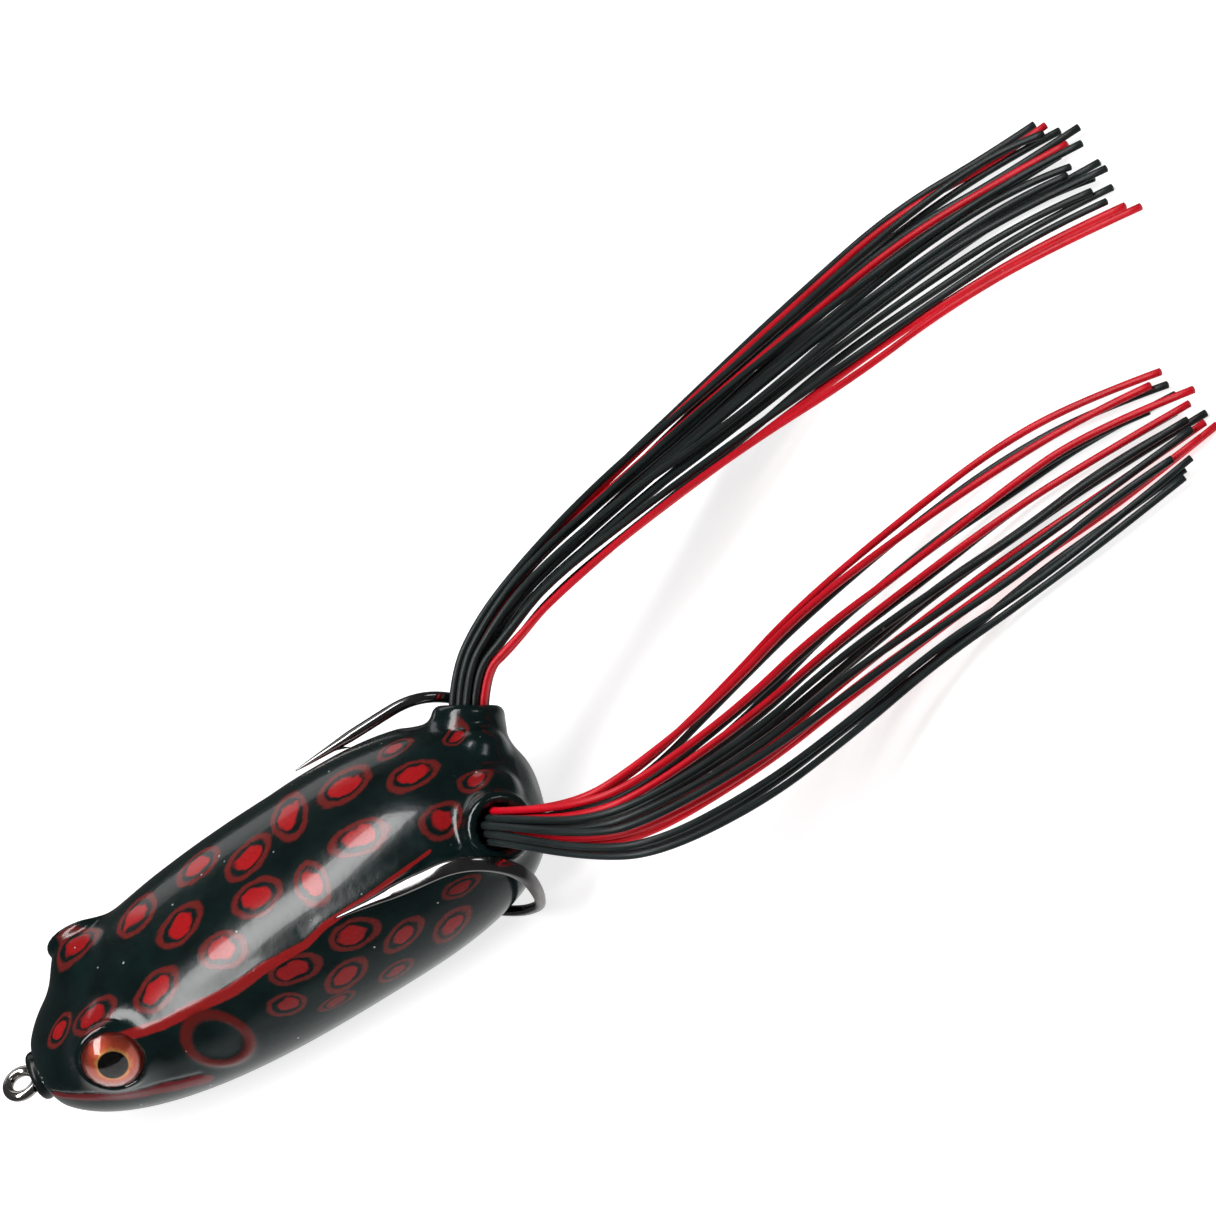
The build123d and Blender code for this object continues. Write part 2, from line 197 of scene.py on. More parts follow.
# middle lines that the strands fan between, from the side nearer the body's middle to the outer side
leftGuides = [
    [(-40.2, 15.1, 17.3), (-47.2, 15.2, 16.8), (-57.3, 7.9, 13.2), (-67.1, -3.5, 7.6), (-79.2, -10.5, 3.2),
     (-92.0, -13.7, 1.35), (-102.9, -12.6, 1.35), (-111.5, -10.0, 1.35)],
    [(-40.4, 17.1, 17.3), (-47.7, 18.4, 16.8), (-59.8, 13.5, 13.2), (-68.9, 4.8, 7.6), (-79.6, -1.7, 3.2),
     (-91.1, -5.1, 1.35), (-102.5, -6.1, 1.35), (-114.7, -4.5, 1.35)],
    [(-40.7, 21.0, 17.3), (-47.7, 23.4, 16.8), (-59.5, 19.8, 13.2), (-69.7, 12.0, 7.6), (-80.2, 6.3, 3.2),
     (-91.5, 3.6, 1.35), (-102.9, 2.8, 1.35), (-115.7, 0.7, 1.35)],
    [(-39.6, 22.9, 17.3), (-47.3, 27.5, 16.8), (-58.6, 25.7, 13.2), (-68.8, 18.2, 7.6), (-78.9, 11.4, 3.2),
     (-89.8, 7.8, 1.35), (-100.8, 6.6, 1.35), (-111.3, 4.9, 1.35)],
]
rightGuides = [
    [(-37.6, -11.2, 17.3), (-43.8, -15.0, 16.8), (-55.1, -21.1, 13.2), (-66.5, -28.3, 7.6),
     (-78.3, -33.9, 3.2), (-91.5, -36.7, 1.35), (-104.1, -36.5, 1.35), (-115.7, -34.4, 1.35)],
    [(-36.5, -14.1, 17.3), (-42.5, -18.2, 16.8), (-53.2, -25.2, 13.2), (-65.1, -33.7, 7.6),
     (-77.4, -41.1, 3.2), (-90.7, -44.9, 1.35), (-103.2, -44.8, 1.35), (-112.8, -43.6, 1.35)],
    [(-35.3, -16.1, 17.3), (-41.1, -21.2, 16.8), (-51.4, -29.3, 13.2), (-63.5, -39.2, 7.6),
     (-76.1, -48.0, 3.2), (-89.2, -52.9, 1.35), (-102.0, -53.1, 1.35), (-109.8, -52.5, 1.35)],
]
rowHeights = [rowPitch, rowPitch, 0.76, 0.66, 0.55, 0.45, 0.45, 0.45]  # between rows, at each guide point

# place across the mouth and row, both in pitches, place in the fan, reach along the last run, colour
leftStrands = [
    (-2.0, 0, 0.00, 0.95, "red"), (-1.5, -1, 0.20, 1.00, "black"), (-1.5, 1, 0.33, 0.80, "red"),
    (-1.0, -2, 0.62, 0.90, "black"), (-1.0, 0, 0.76, 0.60, "black"), (-1.0, 2, 0.90, 1.00, "red"),
    (-0.5, -1, 1.08, 0.75, "black"), (-0.5, 1, 1.22, 0.95, "red"), (0.0, -2, 1.36, 1.00, "black"),
    (0.0, 0, 1.48, 0.70, "black"), (0.0, 2, 1.60, 0.85, "black"), (0.5, -1, 1.70, 0.95, "red"),
    (0.5, 1, 1.82, 0.80, "black"), (1.0, -2, 1.94, 1.00, "red"), (1.0, 0, 2.06, 0.90, "red"),
    (1.0, 2, 2.20, 0.70, "black"), (1.5, -1, 2.62, 0.85, "black"), (1.5, 1, 2.80, 1.00, "black"),
    (2.0, 0, 3.04, 0.95, "black"),
]
rightStrands = [
    (-2.0, 0, 0.00, 1.00, "red"), (-1.5, -1, 0.15, 0.90, "red"), (-1.5, 1, 0.24, 0.75, "black"),
    (-1.0, -2, 0.52, 0.95, "black"), (-1.0, 0, 0.64, 0.70, "black"), (-1.0, 2, 0.76, 1.00, "black"),
    (-0.5, -1, 0.88, 0.85, "black"), (-0.5, 1, 1.00, 0.65, "black"), (0.0, -2, 1.10, 0.95, "black"),
    (0.0, 0, 1.22, 0.80, "black"), (0.0, 2, 1.34, 1.00, "black"), (0.5, -1, 1.44, 0.70, "black"),
    (0.5, 1, 1.54, 0.90, "red"), (1.0, -2, 1.62, 0.80, "black"), (1.0, 0, 1.71, 1.00, "black"),
    (1.0, 2, 1.80, 0.75, "black"), (1.5, -1, 1.88, 0.95, "black"), (1.5, 1, 1.96, 0.85, "red"),
    (2.0, 0, 2.14, 0.70, "black"),
]


def strandRoutes(side):
    guides = leftGuides if side == 1 else rightGuides
    strands = leftStrands if side == 1 else rightStrands
    way = tubeWay(side)
    level = -unit((-way[1] * side, way[0] * side, 0))
    over = np.cross(way, level)
    for across, row, place, reach, colour in strands:
        root = mouth(side) + level * across * strand["pitch"] - over * side * row * rowPitch
        points = [root - way * strand["insideMouth"], root + way * strand["lead"]]
        first = min(int(place), len(guides) - 2)
        for low, high, height in zip(guides[first], guides[first + 1], rowHeights):
            low, high = np.array(low), np.array(high)
            points.append(low + (high - low) * (place - first) + np.array([0, 0, row * height]))
        points[-1] = points[-2] + (points[-1] - points[-2]) * reach
        yield colour, points


def nurbsPath(points, steps):
    data = bpy.data.curves.new("route", "CURVE")
    data.dimensions = "3D"
    data.resolution_u = steps
    spline = data.splines.new("NURBS")
    spline.points.add(len(points) - 1)
    for point, place in zip(spline.points, points):
        point.co = (*(float(part) * mm for part in place), 1)
    spline.order_u = 3
    spline.use_endpoint_u = True
    route = bpy.data.objects.new("route", data)
    bpy.context.scene.collection.objects.link(route)
    line = bpy.data.meshes.new_from_object(route)
    path = np.array([vertex.co for vertex in line.vertices]) / mm
    bpy.data.objects.remove(route)
    bpy.data.meshes.remove(line)
    return path


def pathWays(path):
    ways = np.gradient(path, axis=0)
    return ways / np.linalg.norm(ways, axis=1)[:, None]


def carriedFrames(path, start):
    # a side direction for each point, carried along the path without twist
    ways = pathWays(path)
    side = np.array(start, float)
    sides = []
    for way in ways:
        side = unit(side - way * (side @ way))
        sides.append(side)
    return ways, np.array(sides)


def makeStrands(side, hand):
    chance = np.random.default_rng(strand["seeds"][side])
    pieces = []
    for number, (colour, points) in enumerate(strandRoutes(side), start=1):
        for place in range(strand["driftsFrom"], len(points)):
            points[place] = points[place] + chance.normal(0, strand["drift"], 3) * (1, 1, strand["driftUp"])
        path = nurbsPath(points, strand["steps"])
        ways, sides = carriedFrames(path, (0, 0, 1))
        radius = strand["diameter"] / 2
        turns = np.linspace(0, 2 * math.pi, strand["sides"], endpoint=False)
        phase = chance.uniform(0, 6)
        rings = []
        for index, (place, way, across) in enumerate(zip(path, ways, sides)):
            other = np.cross(way, across)
            size = radius * (1 + strand["waves"] * math.sin(phase + index * strand["waveTurn"]))
            rings.append([place + across * size * math.cos(turn) + other * size * math.sin(turn)
                          for turn in turns])
        end = path[-1] + ways[-1] * strand["endRound"]
        rings.append([end + (np.array(point) - path[-1]) * strand["endSize"] for point in rings[-1]])
        made = addMesh(f"{hand}_leg_{number:02d}", *joinRings(rings))
        run = np.concatenate([[0], np.cumsum(np.linalg.norm(np.diff(path, axis=0), axis=1))])
        addFloat(made, "along", np.repeat(np.append(run, run[-1]), strand["sides"]))
        addFloat(made, "around", np.tile(turns, len(rings)))
        mouth(side) * mm
        (mouth(side) - (strand["bendsOver"], 0, 0)) * mm
        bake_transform(made)
        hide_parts(f"{hand}_strand_{number:02d}_{colour}")
        pieces.append((made, colour))
    return pieces


strandPieces = makeStrands(1, "left") + makeStrands(-1, "right")
print("strands made:", len(strandPieces))

# eyes

eye = {"x": 21.3, "angle": 34.0, "sink": 1.9, "browRadius": 4.2, "way": (-0.04, 0.91, 0.32), "diameter": 7.0,
       "lensProud": 0.25, "lensThick": 0.2, "gap": 0.02, "foil": 0.16, "pupil": 0.45, "sides": 64}
lensRadius = eye["browRadius"] + eye["lensProud"]
lensBase = math.sqrt(lensRadius**2 - (eye["diameter"] / 2) ** 2)


def browCentre(side):
    return skinPoint(eye["x"], eye["angle"], -eye["sink"], side)


def eyeFrame(side):
    way = mirrored(unit(eye["way"]), side)
    level = unit(np.cross((0, 0, 1), way))
    return way, level, np.cross(way, level)


def roundRing(centre, level, over, radius, sides, stretch=1.0):
    turns = np.linspace(0, 2 * math.pi, sides, endpoint=False)
    return [centre + level * radius * math.cos(turn) + over * radius * stretch * math.sin(turn)
            for turn in turns]


def makeEyes(side, hand):
    way, level, over = eyeFrame(side)
    centre = browCentre(side)
    rim = eye["diameter"] / 2
    # the foil: a dome close under the lens, flat at the back
    domeRadius = lensRadius - eye["lensThick"] - eye["gap"]
    foot = lensBase - eye["foil"] / 2
    spread = math.acos(foot / domeRadius)
    steps = np.linspace(1, 0.01, 30)
    shape = [(rim * 0.5, lensBase - eye["foil"]), (rim, lensBase - eye["foil"]), (rim, foot)]
    shape += [(domeRadius * math.sin(spread * step), domeRadius * math.cos(spread * step)) for step in steps]
    rings = [roundRing(centre + way * out, level, over, radius, eye["sides"]) for radius, out in shape]
    iris = addMesh(f"{hand}_iris", *joinRings(rings))
    addFloat(iris, "reach", np.repeat([1.0, 1.0, 1.0] + list(steps), eye["sides"]))
    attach(iris, "frog_body")
    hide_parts(f"{hand}_eye_foil")
    # the lens: a clear shell over it
    inner = lensRadius - eye["lensThick"]
    innerSpread, outerSpread = math.acos(lensBase / inner), math.asin(rim / lensRadius)
    shape = [(inner * math.sin(innerSpread * step), inner * math.cos(innerSpread * step))
             for step in reversed(steps)]
    shape += [(lensRadius * math.sin(outerSpread * step), lensRadius * math.cos(outerSpread * step))
              for step in steps]
    rings = [roundRing(centre + way * out, level, over, radius, eye["sides"]) for radius, out in shape]
    lens = addMesh(f"{hand}_lens", *joinRings(rings))
    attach(lens, "frog_body")
    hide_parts(f"{hand}_eye_lens")
    return iris, lens


eyePieces = makeEyes(1, "left") + makeEyes(-1, "right")
print("eyes made")

# double hook

hook = {"wire": 1.2, "shankGap": 0.04, "front": (32.6, 0.0, 10.4), "rear": (-14.0, 0.0, 2.3), "ring": 1.7,
        "neck": 1.2, "foot": (-22.8, 7.2, 0.15), "route": [(-28.0, -22.0, 4.3), (-29.3, 6.0, 4.6),
        (-25.2, 28.0, 3.8)], "point": (-9.5, 34.0, 0.9), "pointLength": 7.0, "tip": 0.05,
        "taperPower": 0.72, "forgedWide": 0.6, "forgedThin": 0.82, "forgedSquare": 1.2, "forgedFrom": (3, 10),
        "forgedTo": (24, 32), "armEnds": (26, 40), "softenings": 10, "sides": 24, "step": 0.35}
shankWay = unit(np.array(hook["front"]) - hook["rear"])
shankSide = (hook["wire"] + hook["shankGap"]) / 2
shankLength = float(np.linalg.norm(np.array(hook["front"]) - hook["rear"]))
ringNormal = np.cross(shankWay, (0, 1, 0))


def onShank(along, across):
    return np.array(hook["front"]) + shankWay * along + np.array([0, across, 0])


def armCorners(side):
    points = [onShank(0, side * shankSide), onShank(-shankLength, side * shankSide),
              mirrored(hook["foot"], side)]
    points += [skinPoint(x, angle, out, side) for x, angle, out in hook["route"]]
    tip = skinPoint(*hook["point"], side)
    points.append(tip + unit(points[-1] - tip) * hook["pointLength"])
    return points + [tip]


def roundedLine(points, share=0.45):
    # straight runs joined by tangent arcs
    line = [points[0]]
    for before, corner, after in zip(points, points[1:], points[2:]):
        back, ahead = unit(before - corner), unit(after - corner)
        inner = math.acos(float(np.clip(back @ ahead, -1, 1)))
        if inner > 3.13:
            line.append(corner)
            continue
        cut = share * min(np.linalg.norm(before - corner), np.linalg.norm(after - corner))
        radius = cut * math.tan(inner / 2)
        middle = corner + unit(back + ahead) * radius / math.sin(inner / 2)
        start, end = corner + back * cut - middle, corner + ahead * cut - middle
        sweep = math.pi - inner
        for turn in np.linspace(0, 1, 13):
            line.append(middle + (start * math.sin((1 - turn) * sweep) + end * math.sin(turn * sweep))
                        / math.sin(sweep))
    return np.array(line + [points[-1]])


def evenly(line, step):
    run = np.concatenate([[0], np.cumsum(np.linalg.norm(np.diff(line, axis=0), axis=1))])
    places = np.linspace(0, run[-1], max(3, int(run[-1] / step)))
    return np.stack([np.interp(places, run, line[:, axis]) for axis in range(3)], axis=1)


def softened(line, rounds):
    line = line.copy()
    for _ in range(rounds):
        line[1:-1] = line[1:-1] * 0.5 + (line[:-2] + line[2:]) * 0.25
    return line


def ringArc():
    # from the left shank's neck round the front of the ring to the right shank's neck
    middle = math.sqrt((hook["ring"] + hook["neck"]) ** 2 - (shankSide + hook["neck"]) ** 2)
    lean = math.atan2(middle, shankSide + hook["neck"])
    neck = [(hook["neck"] * math.sin(turn), shankSide + hook["neck"] * (1 - math.cos(turn)))
            for turn in np.linspace(0, lean, 8)[1:]]
    start = math.pi / 2 + lean
    loop = [(middle + hook["ring"] * math.cos(turn), hook["ring"] * math.sin(turn))
            for turn in np.linspace(start, -start, 50)[1:-1]]
    return neck + loop + [(along, -across) for along, across in reversed(neck)]


def makeHook():
    left, right = (softened(evenly(roundedLine(armCorners(side)), hook["step"]), hook["softenings"])
                   for side in (1, -1))
    ring = np.array([onShank(*place) for place in ringArc()])
    path = np.concatenate([left[::-1], ring, right])
    ways = pathWays(path)
    run = np.concatenate([[0], np.cumsum(np.linalg.norm(np.diff(path, axis=0), axis=1))])
    fromTip = np.minimum(run, run[-1] - run)
    # each arm's own plane, from its bend, which the forging lies in
    normals = np.zeros_like(path)
    for side, part in ((1, slice(0, len(left))), (-1, slice(len(left) + len(ring), None))):
        corners = armCorners(side)
        normals[part] = unit(np.cross(corners[3] - corners[-1], corners[2] - corners[-1])) * side
    share = smoothStep(*hook["armEnds"], fromTip)[:, None]
    normals = normals * (1 - share) + ringNormal * share
    taper = np.clip(fromTip / hook["pointLength"], 0, 1) ** hook["taperPower"]
    size = hook["tip"] + (hook["wire"] / 2 - hook["tip"]) * taper
    forged = smoothStep(*hook["forgedFrom"], fromTip) * (1 - smoothStep(*hook["forgedTo"], fromTip))
    turns = np.linspace(0, 2 * math.pi, hook["sides"], endpoint=False)
    rings = []
    for place, way, normal, radius, flat in zip(path, ways, normals, size, forged):
        thin = unit(normal - way * (normal @ way))
        wide = np.cross(thin, way)
        across = radius * (1 + flat * (2 * hook["forgedWide"] / hook["wire"] - 1))
        through = radius * (1 - flat * (1 - 2 * hook["forgedThin"] / hook["wire"]))
        power = 2 / (2 + hook["forgedSquare"] * flat)
        rings.append([place + wide * across * np.sign(math.cos(turn)) * abs(math.cos(turn)) ** power
                      + thin * through * np.sign(math.sin(turn)) * abs(math.sin(turn)) ** power
                      for turn in turns])
    points, faces = joinRings(rings)
    for side in (1, -1):
        more, moreFaces = joinRings(barbRings(side), len(points))
        points += more
        faces += moreFaces
    made = addMesh("double_hook_wire", points, faces)
    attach(made, "hook")
    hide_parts("double_hook")
    return made


barb = {"from": 2.6, "length": 2.1, "inward": (0, -0.6, -0.8), "sunk": 0.1, "rise": 0.95, "curl": 1.3,
        "tall": 0.3, "wide": 0.34, "edge": 0.012, "rake": 0.35, "rings": 9, "sides": 12}


def barbRings(side):
    # a sliver cut up from the inner side of the wire, raked back from the point
    corners = armCorners(side)
    root, tip = corners[-2], corners[-1]
    way = unit(tip - root)
    inward = mirrored(barb["inward"], side)
    inward = unit(inward - way * (inward @ way))
    across = np.cross(way, inward)
    rake = unit(way * barb["rake"] + inward)
    start = root + way * barb["from"]
    rings = []
    for share in np.linspace(0, 1, barb["rings"]):
        rise = barb["sunk"] + barb["rise"] * share ** barb["curl"]
        centre = start - way * barb["length"] * share + inward * rise
        tall = barb["tall"] * (1 - share) ** 0.8 + barb["edge"]
        wide = barb["wide"] * (1 - share) ** 0.7 + barb["edge"]
        rings.append([centre + across * wide * math.cos(turn) + rake * tall * math.sin(turn)
                      for turn in np.linspace(0, 2 * math.pi, barb["sides"], endpoint=False)])
    return rings


hookPiece = makeHook()
print("hook made")

# nose collar: a rounded bead with an oval mouth that the ring comes out of

collar = {"radius": 2.7, "length": 6.6, "proud": 1.3, "mouthWide": 2.25, "mouthTall": 1.15, "depth": 1.1,
          "boreWide": 1.6, "boreTall": 0.9, "footEdge": 0.1,
          "groove": [(3.0, 0), (1.7, 0), (1.45, 0.08), (1.2, 0.04)], "beadBack": 0.75, "beadProud": 0.1,
          "beadRound": 0.62, "lipDeep": 0.42, "lipWide": 0.18, "lipTall": 0.5, "sides": 72}


def makeCollar():
    front = onShank((noseX + collar["proud"] - hook["front"][0]) / shankWay[0], 0)
    wide, tall, radius = collar["mouthWide"], collar["mouthTall"], collar["radius"]
    # how far back, half width, half height
    shape = [(collar["length"], collar["boreWide"], collar["boreTall"]),
             (collar["length"], radius - collar["footEdge"], radius - collar["footEdge"])]
    shape += [(back, radius - cut, radius - cut) for back, cut in collar["groove"]]
    for turn in np.linspace(0, math.pi / 2, 9):
        back = collar["beadBack"] * (1 - math.sin(turn))
        out = radius + collar["beadProud"] - collar["beadRound"] * (1 - math.cos(turn))
        shape.append((back, out, out))
    for turn in np.linspace(0, math.pi / 2, 8)[1:]:
        edge = 1 - math.sin(turn)
        shape.append((collar["lipDeep"] * (1 - math.cos(turn)), wide + collar["lipWide"] * edge,
                      tall + collar["lipTall"] * edge))
    shape += [(0.8, wide - 0.04, tall - 0.04), (collar["depth"], wide - 0.12, tall - 0.12),
              (collar["depth"] + 0.08, wide * 0.6, tall * 0.55)]
    level = np.array([0.0, 1.0, 0.0])
    over = np.cross(shankWay, level)
    rings = [roundRing(front - shankWay * back, level, over, across, collar["sides"], up / across)
             for back, across, up in shape]
    made = addMesh("collar_bead", *joinRings(rings))
    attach(made, "frog_body")
    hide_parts("nose_collar")
    return made


collarPiece = makeCollar()
print("collar made")

# body skin

skin = {
    "voxel": 0.3, "browBlend": 2.8, "lidRadius": 3.72, "lidThick": 0.34, "lidBlend": 0.6, "tubeBlend": 1.5,
    "ridge": (-28.9, 3.1, 13.4), "ridgeRadius": 3.2, "ridgeBlend": 0.6, "noseEdge": 0.9, "bellyEdge": 0.7,
    "slotRound": 0.5, "slotHalf": 1.35, "slotTop": 3.4, "slotRear": (-22.4, 7.0), "slotFront": (-12.6, 0.62),
    "nearSkin": 1.5, "foldRise": 0.22, "foldWidth": 0.9, "jawDepth": 0.22, "jawWidth": 0.35, "jawTurn": 6,
    "earRise": 0.2, "earRim": 0.88, "earWidth": 0.16, "lidHeavier": 0.8, "lidReach": 3.5, "lidSink": 0.15,
    "tubeRoot": 2.5, "noseProud": 0.2, "hollowEnd": 4.5, "boreEdge": 0.35, "socketGap": 0.02,
    "socketSink": 0.2, "collarGap": 0.03, "collarRoom": 1.0, "low": (-38, -17, -1), "high": (34.5, 17, 24),
    "markDepth": -0.9, "flankShift": 1.5, "foldPlaces": (-20, -6, 4), "foldShares": (0.3, 0.6, 1.0),
    "paintEdge": (-28, -12),
    # millimetres of skin to a degree round the body, for lines and for marks
    "lineDegree": 0.19, "markDegree": 0.2,
}
# printed marks: place along, angle round, half length, half width, turn, strength
spots = [
    (-28.3, 120, 2.2, 1.2, -60, 0.8), (-22.0, 118, 2.4, 1.4, -35, 0.8), (-15.8, 103, 3.5, 2.6, -15, 1.0),
    (-8.9, 103, 2.4, 3.7, 0, 1.0), (3.2, 110, 3.2, 2.3, -5, 1.0), (12.1, 107, 3.0, 2.8, 0, 1.0),
    (-23.2, 89, 3.0, 2.5, -25, 1.0), (-3.0, 92, 3.5, 2.5, -20, 1.0), (7.2, 77, 3.4, 2.5, -10, 1.0),
    (-29.0, 66, 1.9, 2.2, 0, 0.7), (-15.8, 63, 3.7, 2.2, 10, 1.0), (-9.0, 54, 2.1, 2.7, 0, 1.0),
    (-2.5, 64, 3.4, 2.2, 8, 1.0), (3.5, 49, 3.1, 2.0, 15, 1.0), (12.5, 50, 3.5, 2.0, -10, 1.0),
    (-24.5, 49, 2.4, 2.3, 20, 0.8), (26.0, 71, 2.6, 2.3, -30, 0.9), (20.6, 59, 3.3, 2.0, 0, 0.8),
    (20.6, 121, 3.3, 2.0, 0, 0.8),
]
flankSpots = [
    (-10.0, 21, 3.1, 1.7, 5, 0.6), (-2.2, 22, 3.2, 1.7, 8, 0.6), (1.3, 6, 2.3, 1.6, 15, 0.5),
    (-14.0, 5, 3.0, 1.5, -15, 0.55), (-6.0, 2, 3.1, 1.7, -12, 0.55), (-22.2, 10, 2.4, 1.2, 10, 0.4),
    (-18.4, -8, 3.0, 1.7, -20, 0.5), (-10.2, -14, 2.4, 1.2, -5, 0.4), (-3.0, -10, 2.4, 0.9, 5, 0.35),
]
foldLine = [(-22.0, 37), (-14.0, 34), (-8.0, 33), (-5.0, 30), (0.0, 31), (5.0, 29.5), (10.0, 32), (14.0, 33),
            (19.0, 39)]
jawLine = [(15.0, -16), (20.0, -9), (24.0, -3), (28.0, 5), (31.0, 13)]
ear = {"x": 10.2, "angle": 7.5, "long": 3.7, "wide": 4.4}


def softUnion(first, second, blend):
    share = np.clip(0.5 + 0.5 * (second - first) / blend, 0, 1)
    return second * (1 - share) + first * share - blend * share * (1 - share)


def softMeet(first, second, blend):
    return -softUnion(-first, -second, blend)


def alongAndOut(x, y, z, centre, way):
    # distance along an axis, and distance out from it
    dx, dy, dz = x - centre[0], y - centre[1], z - centre[2]
    along = dx * way[0] + dy * way[1] + dz * way[2]
    return along, np.sqrt(np.maximum(dx * dx + dy * dy + dz * dz - along * along, 0))


def ball(x, y, z, centre, radius):
    return np.sqrt((x - centre[0]) ** 2 + (y - centre[1]) ** 2 + (z - centre[2]) ** 2) - radius


def skinCoordinates(x, y, z):
    # angle round the section from the nearer side, and from the left side all the way over
    angle = np.degrees(np.arctan2(z - middleHeight(x), np.abs(y)))
    return angle, np.where(y < 0, 180 - angle, angle)


def lineDistance(x, angle, line):
    places, angles = zip(*line)
    beyond = np.maximum(np.maximum(places[0] - x, x - places[-1]), 0)
    return np.hypot((angle - np.interp(x, places, angles)) * skin["lineDegree"], beyond)


def earDistance(x, angle):
    return np.hypot((x - ear["x"]) / ear["long"], (angle - ear["angle"]) * skin["markDegree"] / ear["wide"])


def plainField(x, y, z):
    # about the distance from the plain skin, negative inside
    height = z - middleHeight(x)
    angle = np.arctan2(height, y)
    reach = sectionReach(x, angle)
    slope = (sectionReach(x + 0.1, angle) - sectionReach(x - 0.1, angle)) / 0.2
    out = (np.hypot(y, height) - reach) / np.sqrt(1 + slope**2)
    beyond = np.maximum(x - noseX - body["noseReach"], tailX - body["tailReach"] - x)
    return np.where(beyond > 0, np.hypot(np.maximum(out, 0), beyond), out)


def skinField(x, y, z):
    plain = plainField(x, y, z)
    field = plain.copy()
    angle = skinCoordinates(x, y, z)[0]
    nearSkin = np.exp(-((plain / skin["nearSkin"]) ** 2))
    fold = lineDistance(x, angle, foldLine) / skin["foldWidth"]
    field -= skin["foldRise"] * np.exp(-(fold**2)) * nearSkin
    jaw = lineDistance(x, angle - skin["jawTurn"], jawLine) / skin["jawWidth"]
    field += skin["jawDepth"] * np.exp(-(jaw**2)) * nearSkin
    rim = np.exp(-(((earDistance(x, angle) - skin["earRim"]) / skin["earWidth"]) ** 2))
    field -= skin["earRise"] * rim * nearSkin
    for side in (1, -1):
        centre = browCentre(side)
        way, level, over = eyeFrame(side)
        field = softUnion(field, ball(x, y, z, centre, eye["browRadius"]), skin["browBlend"])
        # the lid: a roll round the lens, thicker above it
        along, out = alongAndOut(x, y, z, centre, way)
        above = (x - centre[0]) * over[0] + (y - centre[1]) * over[1] + (z - centre[2]) * over[2]
        thick = skin["lidThick"] * (1 + skin["lidHeavier"] * np.clip(above / skin["lidReach"], -0.6, 1))
        roll = np.hypot(along - lensBase + skin["lidSink"], out - skin["lidRadius"]) - thick
        field = softUnion(field, roll, skin["lidBlend"])
        centre = mouth(side)
        along, out = alongAndOut(x, y, z, centre, tubeWay(side))
        edge = tube["edge"]
        inwards = np.maximum(out - tube["diameter"] / 2 + edge, 0)
        forwards = np.maximum(along - tube["proud"] + edge, 0)
        pipe = np.hypot(inwards, forwards) - edge
        pipe = np.maximum(pipe, -along - tube["depth"] - skin["tubeRoot"])
        field = softUnion(field, pipe, skin["tubeBlend"])
        ridge = mirrored(skin["ridge"], side)
        field = softUnion(field, ball(x, y, z, ridge, skin["ridgeRadius"]), skin["ridgeBlend"])
    field = softMeet(field, x - noseX - skin["noseProud"], skin["noseEdge"])
    field = softMeet(field, -z + 0.01, skin["bellyEdge"])
    # the hollow inside, the bores of the leg tubes, the eye sockets, the seat of the collar, the belly slots
    hollow = np.maximum(plain + body["wall"], x - noseX + skin["hollowEnd"])
    field = np.maximum(field, -hollow)
    for side in (1, -1):
        along, out = alongAndOut(x, y, z, mouth(side), tubeWay(side))
        bore = np.maximum(out - boreRadius - tube["flare"] * smoothStep(-1.0, tube["proud"], along) ** 2,
                          -along - tube["depth"])
        field = softMeet(field, -bore, skin["boreEdge"])
        along, out = alongAndOut(x, y, z, browCentre(side), eyeFrame(side)[0])
        socket = np.maximum(out - eye["diameter"] / 2 - skin["socketGap"],
                            lensBase - skin["socketSink"] - along)
        field = np.maximum(field, -socket)
        flat = segmentDistance(x, y, skin["slotFront"], skin["slotRear"], side)
        slot = np.maximum(flat - skin["slotHalf"], z - skin["slotTop"])
        field = softMeet(field, -slot, skin["slotRound"])
    along, out = alongAndOut(x, y, z, onShank(0, 0), shankWay)
    seat = np.maximum(out - collar["radius"] + skin["collarGap"],
                      noseX - collar["length"] - skin["collarRoom"] - x)
    return np.maximum(field, -seat)


def segmentDistance(x, y, start, end, side):
    ax, ay, bx, by = start[0], side * start[1], end[0], side * end[1]
    share = np.clip(((x - ax) * (bx - ax) + (y - ay) * (by - ay)) / ((bx - ax) ** 2 + (by - ay) ** 2), 0, 1)
    return np.hypot(x - ax - share * (bx - ax), y - ay - share * (by - ay))


def fieldMesh(name, field, low, high, voxel):
    axes = [np.arange(start, end, voxel) for start, end in zip(low, high)]
    x, y, z = np.meshgrid(*axes, indexing="ij")
    grid = openvdb.FloatGrid(3.0)
    grid.copyFromArray(field(x, y, z).astype(np.float32))
    points, quads = grid.convertToQuads(isovalue=0.0)
    points = points.astype(float) * voxel + np.array(low)
    return addMesh(name, points, [tuple(int(corner) for corner in quad[::-1]) for quad in quads])


def spotDistance(x, angle, spot):
    place, around, long, wide, turn = spot[:5]
    dx, dy = x - place, (angle - around) * skin["markDegree"]
    ahead, aside = math.cos(math.radians(turn)), math.sin(math.radians(turn))
    return np.hypot((dx * ahead + dy * aside) / long, (dy * ahead - dx * aside) / wide)


